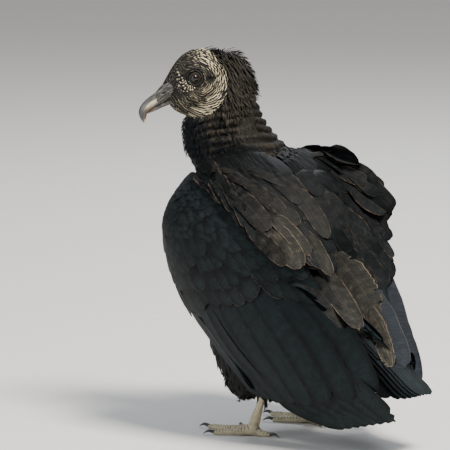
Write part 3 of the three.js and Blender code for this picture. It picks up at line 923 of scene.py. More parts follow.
def beads_of(across: Array, along: Array, seed: float) -> tuple[Array, Array]:
    """Rows of uneven beads with furrows between them.

    Args:
        across: places across the rows, one row to each whole number.
        along: places along the rows, about one bead to each whole number.
        seed: shifts the beads.

    Returns:
        How far inside a bead each place is, zero in a furrow, and the bead's own number from zero to one.
    """
    row, column = np.floor(across), np.floor(along)
    nearest, second = np.full(across.shape, 9.0), np.full(across.shape, 9.0)
    number = np.zeros(across.shape)
    for i in (-1, 0, 1):
        for j in (-1, 0, 1):
            r, c = row + i, column + j
            first, other = scrambled(r, c, seed)
            gap_across = r + 0.5 + 0.34 * (first - 0.5) - across
            gap_along = c + 0.5 + 0.5 * np.mod(r, 2.0) + 0.8 * (other - 0.5) - along
            distance = np.hypot(gap_across, gap_along)
            closer = distance < nearest
            second = np.where(closer, nearest, np.minimum(second, distance))
            number = np.where(closer, np.mod(first + 1.7 * other, 1.0), number)
            nearest = np.where(closer, distance, nearest)
    return ease(second - nearest, 0.08, 0.62), number


def along_ring(count: int, start: float = 0.0, sweep: float = 360.0) -> Array:
    """Angles in radians, evenly spread over a sweep.

    Args:
        count: how many angles.
        start: the first, in degrees.
        sweep: how far they spread, in degrees.

    Returns:
        The angles.
    """
    return np.radians(start + sweep * np.arange(count) / max(count - (sweep < 360.0), 1))


@dataclass
class Skin:
    """One skin over head, neck, trunk and legs, bare on head and shanks, sunk under the coat elsewhere."""

    feathered: tuple[str, ...] = ("neck", "trunk", "thigh_left", "thigh_right")
    bare: tuple[str, ...] = ("head", "tarsus_left", "tarsus_right", "foot_left", "foot_right")
    voxel: float = 2.15 * MM
    seam_fill: float = 0.4 * MM
    filler_size: tuple[float, float, float] = (9.5, 8.5, 11.5)  # half sizes of what fills the bill's root
    filler_place: tuple[float, float, float] = (32.5, 0.0, -5.5)
    coat_depth: float = 4.5 * MM
    coat_ridge: float = 0.2  # the skin's tone under the coat
    leg_paleness: float = 0.55
    body_share: float = 0.17  # of the trunk's faces, how many stay
    neck_share: float = 0.5  # of the neck's and the shanks' faces, how many stay
    trunk_top: float = 276.0  # the trunk's faces lie below it, the neck's above it
    shank_top: float = 60.0  # the shanks lie below it
    ridge_spacing: float = 2.15  # millimetres between two wrinkles
    ridge_height: float = 0.55
    wart_rows: tuple[tuple[float, int], ...] = ((10.8, 6), (12.8, 7), (14.9, 7), (17.2, 6), (19.6, 4))
    scale_step: float = 3.6  # from one broad scale of the shank to the next
    scale_height: float = 0.45
    muzzle: float = 0.4
    roll_height: float = 2.3
    obj: bpy.types.Object = field(init=False)

    def build(self) -> bpy.types.Object:
        """Makes the skin and dresses it.

        Returns:
            The skin's object.
        """
        self.obj = self._joined_flesh()
        apply_modifier(self.obj, "REMESH", mode="VOXEL", voxel_size=self.voxel)
        bare = self._bare_mask()
        self._smooth_body(bare)
        self._thin_body()
        self._refine(self._bare_mask())
        self._shape()
        finish_piece(self.obj, SkinFinish().material(), [*self.feathered, *self.bare])
        return self.obj

    def _joined_flesh(self) -> bpy.types.Object:
        """Copies the flesh nodes, closes their gaps and joins them, with the bill's root filled.

        Returns:
            The joined flesh.
        """
        copies = [healed_copy(name) for name in (*self.feathered, *self.bare)]
        for copy in copies:
            if "custom_normal" in copy.data.attributes:
                copy.data.attributes.remove(copy.data.attributes["custom_normal"])
            move_points(copy.data, points_of(copy.data) + self.seam_fill * normals_of(copy.data))
        deselect_all()
        bpy.ops.mesh.primitive_uv_sphere_add(segments=24, ring_count=16, radius=1.0)
        filler = bpy.context.object
        move_points(filler.data, HEAD.world(points_of(filler.data) * self.filler_size + self.filler_place))
        return joined([filler, *copies], "skin")

    def _bare_mask(self) -> Array:
        """For each vertex, whether it is bare or nearly so."""
        return bareness(points_of(self.obj.data)) > NEARLY_BARE

    def _near_head(self) -> Array:
        """For each vertex, whether it is on the head or close to it."""
        return np.linalg.norm(points_of(self.obj.data) - HEAD.origin, axis=1) < HEAD_REACH

    def _group(self, name: str, weights: Array) -> None:
        """Makes a vertex group from weights.

        Args:
            name: the group's name.
            weights: one weight for each vertex.
        """
        group = self.obj.vertex_groups.new(name=name)
        for index in np.flatnonzero(weights > 0.01):
            group.add([int(index)], float(weights[index]), "REPLACE")

    def _smooth_body(self, bare: Array) -> None:
        """Rounds the facets off the body, and more lightly off the head.

        Args:
            bare: for each vertex, whether it is bare.
        """
        self._group("body", np.where(bare, 0.0, 1.0))
        self._group("head", np.where(bare & self._near_head(), 1.0, 0.0))
        for part, rounds in (("body", 70), ("head", 14), ("", 3)):
            apply_modifier(self.obj, "SMOOTH", factor=0.5, iterations=rounds, vertex_group=part)

    def _refine(self, bare: Array) -> None:
        """Divides the bare parts finely enough for wrinkles and scales.

        Args:
            bare: for each vertex, whether it is bare.
        """
        near_head = self._near_head()
        for chosen, cuts in ((bare & near_head, 3), (bare & ~near_head, 1)):
            mask = np.zeros(len(self.obj.data.vertices), bool)
            mask[: len(chosen)] = chosen
            select_points(self.obj, mask)
            with editing(self.obj, whole=False):
                bpy.ops.mesh.select_mode(type="FACE")
                bpy.ops.mesh.subdivide(number_cuts=cuts, smoothness=0.6)
                bpy.ops.mesh.select_mode(type="VERT")
                bpy.ops.mesh.vertices_smooth(factor=0.5, repeat=4)

    def _thin_body(self) -> None:
        """Takes faces away where feathers hide the skin, and some from the shanks."""
        for share in (self.body_share, self.neck_share):
            height = BIRD.local(points_of(self.obj.data))[:, 2]
            feathered = ~self._bare_mask()
            if share == self.body_share:
                chosen = feathered & (height < self.trunk_top)
            else:
                chosen = (feathered & (height >= self.trunk_top)) | (height < self.shank_top)
            select_points(self.obj, chosen)
            with editing(self.obj, whole=False):
                bpy.ops.mesh.decimate(ratio=share)

    def _shape(self) -> None:
        """Sinks the feathered skin, and sculpts wrinkles, lids, rolls and scales."""
        mesh = self.obj.data
        points, normals = points_of(mesh), normals_of(mesh)
        coat = ease(-bareness(points), -1.0, 6.0)
        head = HEAD.local(points)
        on_head = ease(HEAD_SPAN - np.linalg.norm(head, axis=1), 0.0, 6.0) * (1 - coat)
        head[:, 1] *= 1 - self.muzzle * ease(head[:, 0], 14.0, 37.0) * on_head
        points = HEAD.world(head)
        lift, ridge, pale = self._head_relief(head)
        rolls, _ = neck_rolls(points)
        shank, scute = self._shank_relief(points, normals)
        legs = (1 - coat) * (1 - on_head)
        sunk = self.coat_depth * (1 - 0.5 * ease(points[:, 2], 0.285, 0.31))
        height = -sunk * coat + MM * (on_head * lift + coat * self.roll_height * rolls + legs * shank)
        move_points(mesh, points + normals * height[:, None])
        store(mesh, "ridge", on_head * ridge + legs * scute + coat * self.coat_ridge)
        store(mesh, "pale", on_head * pale + legs * self.leg_paleness)
        take_up(self.obj)
        bpy.ops.object.shade_smooth()

    def _head_relief(self, head: Array) -> tuple[Array, Array, Array]:
        """The relief of the bare head.

        Args:
            head: vertices in the head's millimetres.

        Returns:
            Height in millimetres, how much of a ridge each vertex is on, and how pale it is.
        """
        x, y, z = head.T
        side = np.abs(y)
        flank = ease(side, 4.0, 12.0)
        eye = np.hypot(x - EYE_AT[0], z - EYE_AT[1])
        from_cheek = np.hypot((x - CHEEK[0]) / 1.06, (z - CHEEK[1]) / 1.12)
        turn = np.degrees(np.arctan2(z - CHEEK[1], x - CHEEK[0])) % 360.0
        rear = ease(turn, 90.0, 142.0) * (1 - ease(turn, 305.0, 334.0))
        throat = ease(turn, 262.0, 292.0)
        outside = ease(from_cheek - 11.0 * throat, 10.0, 17.0)
        wander = 0.9 + 1.4 * (1 - rear)
        arc = np.hypot(from_cheek, 0.8 * np.maximum(22.0 - side, 0.0)) + wander * wave_warp(head, 8.0)
        run = np.radians(turn) * from_cheek + 1.5 * wave_warp(head, 6.0)
        ridge, number = beads_of(arc / self.ridge_spacing, run / 5.2, 3.1)
        small, other = beads_of(arc / 1.8, run / 3.8, 7.7)
        front = np.clip(1 - rear * outside, 0.0, 1.0)
        ridge = (1 - front) * ridge + front * (0.3 * ridge + 0.7 * small)
        number = np.where(front > 0.5, other, number)
        strength = 0.65 + 0.35 * rear * outside
        lift = self.ridge_height * strength * (ridge - 0.5)
        for mound in MOUNDS:
            reach = np.hypot((x - mound.x) / mound.long, (z - mound.z) / mound.tall)
            lift += mound.height * flank * swell(reach, mound.size)
        gape = np.abs(z + 12.5 + 0.22 * (38.0 - x)) + 3.0 * ease(14.0 - x, 0.0, 4.0)
        lift -= 1.0 * flank * swell(gape, 1.3) * ease(x, 11.0, 16.0)
        ring = 0.8 * swell(eye - 8.6, 0.9) + 0.5 * swell(eye - 11.6, 1.0) - 0.7 * swell(eye - 10.2, 0.7)
        lift += flank * ring - 2.4 * flank * swell(eye, 4.2)
        around_eye = flank * ease(14.0 - eye, 0.0, 3.0)
        rings = 0.2 + 0.5 * swell(eye - 8.6, 0.8) + 0.5 * swell(eye - 11.6, 0.9)
        ridge = np.clip((1 - around_eye) * ridge + around_eye * rings * (0.6 + 0.4 * small), 0.0, 1.0)
        wart = self._warts(head)
        lift += 0.8 * wart
        ridge = np.maximum(ridge, wart)
        # painted shade: the ear's hollow is coloured as a dark furrow
        ridge *= 1 - 0.95 * flank * swell(np.hypot(x - EAR.x, z - EAR.z), 3.6)
        # painted shade behind and below the eye, over the ear, taken off the paleness
        shade = flank * swell(np.hypot((x + 10.0) / 1.8, z + 8.0), 6.5)
        pale = rear * outside * (0.45 + 0.55 * ease(number, 0.05, 0.7))
        pale *= 0.35 + 0.65 * ease(from_cheek, 14.0, 21.0)
        forehead = 1 - 0.7 * ease(x + z, 8.0, 22.0)
        pale = np.clip((0.02 + 0.15 * ease(number, 0.4, 0.95)) * forehead + pale - 0.8 * shade, 0.0, 1.0)
        below = ease(-z - 0.12 * x, 8.5, 14.0) * ease(47.0 - x, 0.0, 6.0)
        pale = np.maximum(pale, 0.75 * below * ease(number, 0.25, 0.8))
        pale = np.maximum(pale, wart)
        under_eye = flank * swell(eye - 11.6, 1.3) * ease(-z - 0.2 * x, 1.0, 5.0)
        pale = np.maximum(pale, 0.55 * under_eye * ease(number, 0.2, 0.6))
        return lift, ridge, pale

    def _warts(self, head: Array) -> Array:
        """Small round warts before the eye and along the cheek: one where a vertex is on a wart's top.

        Args:
            head: vertices in the head's millimetres.

        Returns:
            How far each vertex is up a wart, from zero to one.
        """
        made = np.zeros(len(head))
        x, y, z = head.T
        for row, (radius, count) in enumerate(self.wart_rows):
            for step, angle in enumerate(along_ring(count, -58.0 + 9.0 * row, 70.0)):
                shift = 0.7 * math.sin(5.1 * step + 2.3 * row)
                centre_x = EYE_AT[0] + (radius + shift) * math.cos(angle)
                centre_z = EYE_AT[1] + (radius + shift) * math.sin(angle)
                size = 0.86 + 0.24 * math.sin(3.7 * step + row)
                made = np.maximum(made, swell(np.hypot(x - centre_x, z - centre_z), size))
        return made * ease(np.abs(y), 8.0, 13.0)

    def _shank_relief(self, points: Array, normals: Array) -> tuple[Array, Array]:
        """Broad scales across the front of the shanks and the tops of the toes, and small round ones behind.

        Args:
            points: vertices in metres.
            normals: their normals.

        Returns:
            Height in millimetres, and how much of a scale's top each vertex is on.
        """
        bird = BIRD.local(points)
        x, y, z = bird.T
        foot = ease(20.0 - z, 0.0, 8.0)
        reach = np.hypot(np.abs(x) - 50.0, y - 10.0)
        along = np.where(foot > 0.5, reach, z)
        band = np.abs(np.sin(np.pi * along / self.scale_step)) ** 0.5
        grain = 0.5 + 0.5 * np.sin(2.6 * x + 1.1) * np.sin(2.6 * z + 0.8 * y) * np.cos(2.4 * y)
        facing = np.where(foot > 0.5, normals[:, 2], -normals[:, 1])
        broad = ease(facing, 0.0, 0.45)
        scale = broad * band + (1 - broad) * (0.45 + 0.5 * grain)
        return self.scale_height * (scale - 0.7) * ease(z, 0.5, 2.5), 0.25 + 0.75 * scale


# The bare head's edge, as the turn in degrees and the distance from the cheek, in the head's own plane.
BARE_EDGE = (
    (120.0, 42.0),
    (129.0, 37.0),
    (143.0, 34.6),
    (160.0, 33.0),
    (180.0, 31.7),
    (202.0, 30.8),
    (227.0, 30.4),
    (250.0, 31.6),
    (276.0, 34.8),
    (296.0, 38.5),
    (314.0, 42.6),
    (333.0, 46.0),
)
CHEEK = (-2.0, -9.0)
EYE_AT = (1.5, -1.6)  # the eye's middle in the head's own plane
HEAD_SPAN = 66.0  # millimetres round the head's middle in which skin can be bare
SHANK_TOP = 58.0  # where the bare shank ends and the thigh's feathers start
WITHIN_FEATHERS = -20.0  # stands for any place far from bare skin
NEARLY_BARE = -3.0  # millimetres from the bare skin's edge, under which the skin counts as feathered
HEAD_REACH = 60 * MM  # how far from its middle the head extends


@dataclass(frozen=True)
class Mound:
    """A smooth rise on both sides of the head, in its millimetres, or a hollow if its height is negative."""

    height: float
    x: float
    z: float
    long: float
    tall: float
    size: float


EAR = Mound(-2.2, -13.2, -11.5, 1.0, 1.0, 2.6)
BROW = Mound(1.4, 1.0, 9.0, 1.7, 1.0, 4.5)
LORE = Mound(-1.5, 17.0, 3.0, 1.0, 1.2, 5.0)
JOWL = Mound(1.3, 4.0, -20.0, 1.0, 1.0, 8.0)
MOUNDS = (BROW, LORE, JOWL, EAR)


def bareness(points: Array) -> Array:
    """How far inside bare skin places lie.

    Args:
        points: places in metres.

    Returns:
        Millimetres from the edge of the bare head or shank, negative among feathers.
    """
    head, bird = HEAD.local(points), BIRD.local(points)
    x, z = head[:, 0] - CHEEK[0], head[:, 2] - CHEEK[1]
    turn = np.degrees(np.arctan2(z, x)) % 360.0
    edge = np.interp(turn, [t for t, _ in BARE_EDGE], [r for _, r in BARE_EDGE])
    edge = np.where((turn < 120.0) | (turn > 335.0), 60.0, edge) + 0.8 * wave_warp(head, 6.0)
    near = np.linalg.norm(head, axis=1) < HEAD_SPAN
    on_head = np.where(near, edge - np.hypot(x, z), WITHIN_FEATHERS)
    shank = SHANK_TOP - bird[:, 2] + 3.0 * wave_warp(bird, 20.0)
    return np.maximum(on_head, np.where(bird[:, 2] < 120.0, shank, WITHIN_FEATHERS))


ROLL_TOP = 398.0  # the bird's millimetres, where the neck's first roll of feathers lies at the back
ROLL_STEP = 8.6


def neck_rolls(points: Array) -> tuple[Array, Array]:
    """The rolls in which the neck's feathers lie.

    Args:
        points: places in metres.

    Returns:
        The rolls' height from minus one to one, and how deep in a fold each place is, from zero to one.
    """
    bird = BIRD.local(points)
    y, z = bird[:, 1], bird[:, 2]
    high = ease(z, 310.0, 380.0)
    level = z - (0.08 + 0.27 * high) * (y + 60.0) + 4.2 * wave_warp(bird, 62.0) + 1.5 * wave_warp(bird, 25.0)
    phase = (ROLL_TOP - level) / ROLL_STEP
    region = ease(z, 258.0, 284.0) * (1 - ease(z, 384.0, 402.0))
    region = region * (0.15 + 0.85 * ease(y, -112.0, -75.0))
    wave = np.abs(np.sin(np.pi * phase)) ** 0.6
    fine = np.abs(np.sin(2.3 * np.pi * phase + 1.8 * wave_warp(bird, 30.0))) ** 0.6
    strong = 0.3 + 0.7 * ease(wave_warp(bird + 40.0, 34.0), -0.45, 0.35)
    height = region * (strong * (2 * wave - 1.2) + 0.35 * (fine - 0.6))
    return height, region * np.clip(strong * (1 - wave) ** 1.2 + 0.35 * (1 - fine) ** 1.5, 0.0, 1.0)


# ---------------------------------------------------------------- eyes
@dataclass
class Eyes:
    """Both eyeballs, each with its ring of lid and a row of small beads under it."""

    radius: float = 5.9
    spread: float = 18.6
    cornea: float = 0.5
    lid_radius: float = 5.35
    lid_thickness: float = 0.95
    lid_outward: float = 21.6
    crinkles: int = 22
    beads: int = 11
    bead_radius: float = 0.62
    bead_colour: Colour = (0.42, 0.47, 0.5)

    def build(self) -> None:
        """Makes the eyeballs and the lids."""
        for word, sign in SIDES:
            self._ball(word, sign)
            self._lids(word, sign)

    def _ball(self, word: str, sign: float) -> None:
        """Makes one eyeball with its cornea raised.

        Args:
            word: the side's name.
            sign: one on the left, minus one on the right.
        """
        deselect_all()
        bpy.ops.mesh.primitive_uv_sphere_add(segments=48, ring_count=32, radius=self.radius * MM)
        ball = bpy.context.object
        ball.name = f"eyeball_{word}"
        points = points_of(ball.data)
        share = np.arccos(np.clip(points[:, 2] / (self.radius * MM), -1, 1)) / (np.pi / 2)
        lifted = points * (1 + self.cornea / self.radius * (1 - ease(share, 0.2, 0.62)))[:, None]
        store(ball.data, "share", share)
        turned = np.stack([lifted[:, 0], sign * lifted[:, 2], -sign * lifted[:, 1]], axis=1)
        move_points(ball.data, HEAD.world(turned / MM + [EYE_AT[0], sign * self.spread, EYE_AT[1]]))
        bpy.ops.object.shade_smooth()
        finish_piece(ball, EyeFinish().material(), [f"eye_{word}"])

    def _lids(self, word: str, sign: float) -> None:
        """Makes the lid's ring round one eye, and the beads on its lower edge.

        Args:
            word: the side's name.
            sign: one on the left, minus one on the right.
        """
        deselect_all()
        bpy.ops.mesh.primitive_torus_add(
            major_segments=72,
            minor_segments=14,
            major_radius=self.lid_radius * MM,
            minor_radius=self.lid_thickness * MM,
        )
        lid = bpy.context.object
        lid.name = f"eyelids_{word}"
        points = points_of(lid.data) / MM
        angle = np.arctan2(points[:, 1], points[:, 0])
        radial = np.hypot(points[:, 0], points[:, 1]) - self.lid_radius
        crinkle = 1 + 0.16 * np.cos(self.crinkles * angle)
        reach = self.lid_radius + radial * 1.5 * crinkle
        reach *= 1 + 0.05 * np.cos(2 * angle) + 0.03 * np.sin(angle)
        depth = points[:, 2] * crinkle - 0.35 * np.maximum(radial, 0.0) - 0.3 * ease(np.sin(angle), 0.2, 1.0)
        outward = sign * (self.lid_outward + depth)
        shaped = np.stack([reach * np.cos(angle), outward, reach * np.sin(angle)], axis=1)
        shaped += [EYE_AT[0], 0.0, EYE_AT[1]]
        move_points(lid.data, HEAD.world(shaped))
        store(lid.data, "ridge", 0.35 + 0.4 * np.cos(self.crinkles * angle))
        store(lid.data, "pale", np.full(len(points), 0.04))
        joined([lid, *(self._bead(sign, angle) for angle in along_ring(self.beads, 195.0, 165.0))], lid.name)
        with editing(lid):
            bpy.ops.mesh.normals_make_consistent(inside=False)
        finish = SkinFinish(name=f"lid_skin_{word}", pale_ridge=self.bead_colour)
        finish_piece(lid, finish.material(), [])

    def _bead(self, sign: float, angle: float) -> bpy.types.Object:
        """Makes one bead of the lower lid.

        Args:
            sign: one on the left, minus one on the right.
            angle: where it is round the eye, in radians.

        Returns:
            The bead.
        """
        deselect_all()
        bpy.ops.mesh.primitive_ico_sphere_add(subdivisions=2, radius=self.bead_radius * MM)
        bead = bpy.context.object
        reach = self.lid_radius + 2.35
        place = [
            EYE_AT[0] + reach * math.cos(angle),
            sign * (self.lid_outward - 0.5),
            EYE_AT[1] + reach * math.sin(angle),
        ]
        move_points(bead.data, points_of(bead.data) + HEAD.world(np.array(place)))
        count = len(bead.data.vertices)
        store(bead.data, "ridge", np.ones(count))
        store(bead.data, "pale", np.full(count, 0.75))
        return bead


# ---------------------------------------------------------------- bill and claws
FACING_X = (0, math.pi / 2, 0)  # turns a circle to face along X


def extruded_rod(name: str, ring: int, steps: int) -> bpy.types.Object:
    """Extrudes a circle step by step into a closed rod.

    Args:
        name: the rod's name.
        ring: vertices round it.
        steps: how many times it is extruded.

    Returns:
        A rod of radius one that runs from zero to one along X.
    """
    deselect_all()
    bpy.ops.mesh.primitive_circle_add(vertices=ring, radius=1.0, fill_type="NGON", rotation=FACING_X)
    rod = bpy.context.object
    rod.name = name
    bpy.ops.object.transform_apply(location=False, rotation=True, scale=False)
    with editing(rod):
        for _ in range(steps):
            bpy.ops.mesh.extrude_region_move(TRANSFORM_OT_translate={"value": (1.0 / steps, 0, 0)})
    with editing(rod):
        bpy.ops.mesh.normals_make_consistent(inside=False)
    return rod


def spline(a: Array, b: Array, c: Array, d: Array, t: Array) -> Array:
    """Catmull and Rom's curve from b to c as t goes from zero to one, with a before and d after them."""
    return b + 0.5 * t * (c - a + t * (2 * a - 5 * b + 4 * c - d + t * (3 * (b - c) + d - a)))


def curve_through(stations: Array, share: Array) -> Array:
    """Places on a smooth curve through stations.

    Args:
        stations: one row for each station, with any number of columns.
        share: how far along, from zero at the first station to one at the last.

    Returns:
        One row for each share, by Catmull and Rom's rule.
    """
    count = len(stations) - 1
    place = np.clip(np.asarray(share, float), 0.0, 1.0) * count
    start = np.minimum(np.floor(place).astype(int), count - 1)
    t = (place - start)[..., None]
    padded = np.concatenate([[2 * stations[0] - stations[1]], stations, [2 * stations[-1] - stations[-2]]])
    return spline(*(padded[start + step] for step in range(4)), t)


@dataclass
class Bill:
    """The hooked bill: an upper half with its folded cere and nostrils, and a slim lower half."""

    ring: int = 80
    steps: int = 96
    # Each station holds X and Z of the middle line, half the width, and the height above and below the line.
    upper: tuple[tuple[float, ...], ...] = (
        (22.0, -2.0, 12.5, 13.0, 11.0),
        (30.0, -1.6, 9.6, 11.2, 10.4),
        (38.0, -1.8, 7.4, 9.0, 9.6),
        (48.0, -3.4, 5.6, 7.5, 7.8),
        (57.0, -4.0, 4.8, 7.0, 7.0),
        (65.0, -5.2, 4.3, 6.4, 6.4),
        (71.4, -8.6, 3.6, 5.9, 4.8),
        (75.2, -14.2, 2.5, 3.6, 3.4),
        (77.4, -21.4, 0.3, 0.4, 0.4),
    )
    lower: tuple[tuple[float, ...], ...] = (
        (24.0, -15.5, 10.0, 4.0, 5.0),
        (37.5, -13.8, 6.4, 3.0, 3.4),
        (50.0, -12.7, 5.0, 2.2, 2.4),
        (60.0, -12.2, 3.8, 1.8, 2.0),
        (68.5, -12.0, 0.9, 0.6, 0.8),
    )
    nostril: tuple[float, float] = (40.2, -0.6)
    nostril_reach: tuple[float, float] = (4.3, 1.25)
    cere_end: float = 51.0
    amber_from: float = 60.0
    glint_at: float = 58.5  # the middle of the painted highlight, an ivory streak along the side

    def build(self) -> None:
        """Makes both halves as one piece."""
        halves = [self._half("bill", self.upper, True), self._half("bill_low", self.lower, False)]
        finish_piece(joined(halves, "bill"), BillFinish().material(), ["bill_upper", "bill_lower"])

    def _half(self, name: str, stations: tuple[tuple[float, ...], ...], top: bool) -> bpy.types.Object:
        """Makes one half of the bill.

        Args:
            name: the object's name.
            stations: its stations.
            top: whether it is the upper half.

        Returns:
            The half, in place.
        """
        rod = extruded_rod(name, self.ring, self.steps)
        raw = points_of(rod.data)
        table = np.array(stations)
        share = np.clip(raw[:, 0], 0.0, 1.0) ** (0.9 if top else 1.0)
        at = curve_through(table, share)
        ahead = unit(curve_through(table, share + 0.004)[:, :2] - curve_through(table, share - 0.004)[:, :2])
        up = np.stack([-ahead[:, 1], ahead[:, 0]], axis=1)
        around = np.arctan2(raw[:, 2], raw[:, 1])
        c, s = np.cos(around), np.sin(around)
        boxed = np.sign(c) * np.abs(c) ** np.where(s < 0, 0.62, 0.95)
        width = at[:, 2] * boxed * (1 - 0.12 * (s > 0) * np.abs(s) ** 2)
        height = np.where(s > 0, at[:, 3], at[:, 4]) * np.sign(s) * np.abs(s) ** 0.9
        place = np.stack([at[:, 0] + up[:, 0] * height, width, at[:, 1] + up[:, 1] * height], axis=1)
        cere = self._relief(place, c, top)
        move_points(rod.data, HEAD.world(place))
        horn = 1 - cere
        below = place[:, 2] + 4.6 + 0.1 * (place[:, 0] - 58)
        # painted highlight: an ivory streak along the upper half's side
        painted_glint = swell(np.hypot((place[:, 0] - self.glint_at) / 8.0, below / 2.7), 1.0)
        tip = ease(share, 0.86, 0.99) if top else 0.25 * ease(share, 0.4, 1.0)
        store(rod.data, "place", np.stack([share * 46, around * 4.0, height], axis=1))
        store(rod.data, "share", np.clip(horn * (0.16 + 0.85 * painted_glint * top) + 0.4 * tip, 0.0, 1.2))
        store(rod.data, "cere", cere)
        amber = 0.6 * ease(-s, -0.2, 0.7) * (place[:, 0] > self.amber_from)
        store(rod.data, "warm", horn * np.clip(tip + amber, 0.0, 1.0))
        return rod

    def _relief(self, place: Array, c: Array, top: bool) -> Array:
        """Carves folds, nostril and the cere's edge into a half, and says where the cere is.

        Args:
            place: the vertices, changed here.
            c: the cosine round the section.
            top: whether this is the upper half.

        Returns:
            One on the cere and zero on horn.
        """
        x, y, z = place.T.copy()
        edge = self.cere_end + 0.25 * (z + 4.0) + 1.2 * np.sin(0.9 * z)
        cere = 1 - ease(x, edge - 0.5, edge + 0.7)
        fold = np.sin(2.3 * z + 0.35 * x + 1.3 * np.sin(0.31 * x)) + 0.5 * np.sin(4.1 * z - 0.4 * x)
        inward = -0.28 * fold * cere * ease(np.abs(c), 0.25, 0.6) + 0.3 * cere
        if top:
            along = (x - self.nostril[0]) / self.nostril_reach[0]
            across = (z - self.nostril[1] - 0.06 * (x - self.nostril[0])) / self.nostril_reach[1]
            hole = 1 - ease(np.hypot(along, across), 0.55, 1.0)
            rim = swell(np.hypot(along, across) - 1.25, 0.3)
            inward += 3.2 * hole - 0.35 * rim
        place[:, 1] = y - np.sign(c) * np.minimum(np.abs(y), inward) * ease(np.abs(c), 0.1, 0.5)
        return cere


@dataclass
class Claws:
    """The eight claws, curved and round, each at the end of its toe."""

    root_x: float = 50.0
    root_y: float = 10.0
    # Each toe's heading outward from straight ahead, its length, its radius at the tip, its claw's length.
    toes: tuple[tuple[str, float, float, float, float], ...] = (
        ("inner", -30.0, 47.0, 3.7, 13.0),
        ("middle", 3.0, 69.0, 3.7, 14.0),
        ("outer", 34.0, 48.0, 3.5, 12.0),
        ("hallux", 196.0, 21.0, 3.6, 12.0),
    )
    ring: int = 20
    steps: int = 18
    clearance: float = 0.5

    def build(self) -> None:
        """Makes all claws as one piece."""
        claws, nodes = [], []
        for word, side in SIDES:
            for name, heading, length, tip, claw in self.toes:
                claws.append(self._claw(side, math.radians(heading), length, tip, claw))
                nodes.append(f"claw_{word}_{name}")
        finish = HornFinish("claw_horn", (0.016, 0.015, 0.014), (0.06, 0.055, 0.048), 0.4)
        finish_piece(joined(claws, "talons"), finish.material(), nodes)

    def _claw(self, side: float, heading: float, length: float, tip: float, claw: float) -> bpy.types.Object:
        """Makes one claw.

        Args:
            side: one on the left, minus one on the right.
            heading: the toe's heading in radians, outward positive.
            length: the toe's length.
            tip: the toe's radius at its end.
            claw: the claw's length.

        Returns:
            The claw, in place.
        """
        rod = extruded_rod("claw", self.ring, self.steps)
        raw = points_of(rod.data)
        share = np.clip(raw[:, 0], 0.0, 1.0)
        middle = ([claw * 0.35, tip + 0.9], [claw * 0.72, tip - 0.7])
        line = np.array([[-2.5, tip - 0.4], *middle, [claw, self.clearance]])
        at = curve_through(line, share)
        ahead = unit(curve_through(line, share + 0.01) - curve_through(line, share - 0.01))
        radius = np.maximum(tip * 0.62 * (1 - share**1.35), 0.12)
        across, up = raw[:, 1] * radius * 0.82, raw[:, 2] * radius
        reach = at[:, 0] - ahead[:, 1] * up
        height = np.maximum(at[:, 1] + ahead[:, 0] * up, 0.25)
        forward = np.array([side * math.sin(heading), -math.cos(heading)])
        sideways = np.array([-forward[1], forward[0]])
        root = np.array([side * self.root_x, self.root_y])
        flat = root + np.outer(length + reach, forward) + np.outer(across, sideways)
        move_points(rod.data, BIRD.world(np.column_stack([flat, height])))
        store(rod.data, "place", np.column_stack([share * claw, raw[:, 1:] * 3.0]))
        store(rod.data, "share", share)
        return rod


# ---------------------------------------------------------------- feathers
PATCH = 0.003  # how wide one feather's patch is on the bake map
RIM_ANGLE = math.radians(75.0)  # a vane's rim turns more sharply than this, and is shaded as an edge


def bake_place(points: Array) -> Array:
    """Where points lie on the unwrap of the body round its own upright axis.

    Args:
        points: places in metres.

    Returns:
        One U and V for each point, from zero to one.
    """
    x, y, z = BIRD.local(points).T
    middle = np.interp(z, [0, 60, 150, 240, 300, 350, 400, 450], [10, 20, 30, 0, -30, -55, -75, -85])
    sideways = np.interp(z, [0, 300, 400], [0, 0, 25])
    turn = np.arctan2(x - sideways, y - middle)
    return np.stack([0.5 + 0.97 * turn / (2 * np.pi), 0.02 + 0.96 * z / 445.0], axis=-1)


@dataclass(frozen=True)
class FeatherShape:
    """How one kind of feather is formed. Widths and rises are shares of its half width."""

    rows: int = 7
    columns: int = 3
    root_width: float = 0.45
    full_from: float = 0.3
    round_from: float = 0.5
    tip_power: float = 0.5
    camber: float = 0.22
    barb: float = 0.55
    roll: float = 0.1
    thickness: float = 0.5
    ragged: float = 0.06
    splits: float = 0.0

    def width(self, share: Array) -> Array:
        """The half width along the feather.

        Args:
            share: how far along, from zero at the root to one at the tip.

        Returns:
            The half width as a share of the greatest.
        """
        rise = self.root_width + (1 - self.root_width) * ease(share, 0.0, self.full_from)
        fall = np.clip((share - self.round_from) / (1 - self.round_from), 0.0, 1.0)
        return rise * np.maximum(1 - fall**2, 0.0) ** self.tip_power + 0.02

    def rests(self) -> Array:
        """Where the rows lie along the feather, closer together where the tip rounds off."""
        even = np.linspace(0.0, 1.0, self.rows)
        return even + 0.10 * np.sin(np.pi * even) * even


def quads(index: Array) -> Array:
    """The four-sided faces between the rows and columns of a grid of vertices.

    Args:
        index: the vertices' numbers, by row and column.

    Returns:
        The faces' corners.
    """
    corners = [index[:-1, :-1], index[:-1, 1:], index[1:, 1:], index[1:, :-1]]
    return np.stack(corners, axis=-1).reshape(-1, 4)


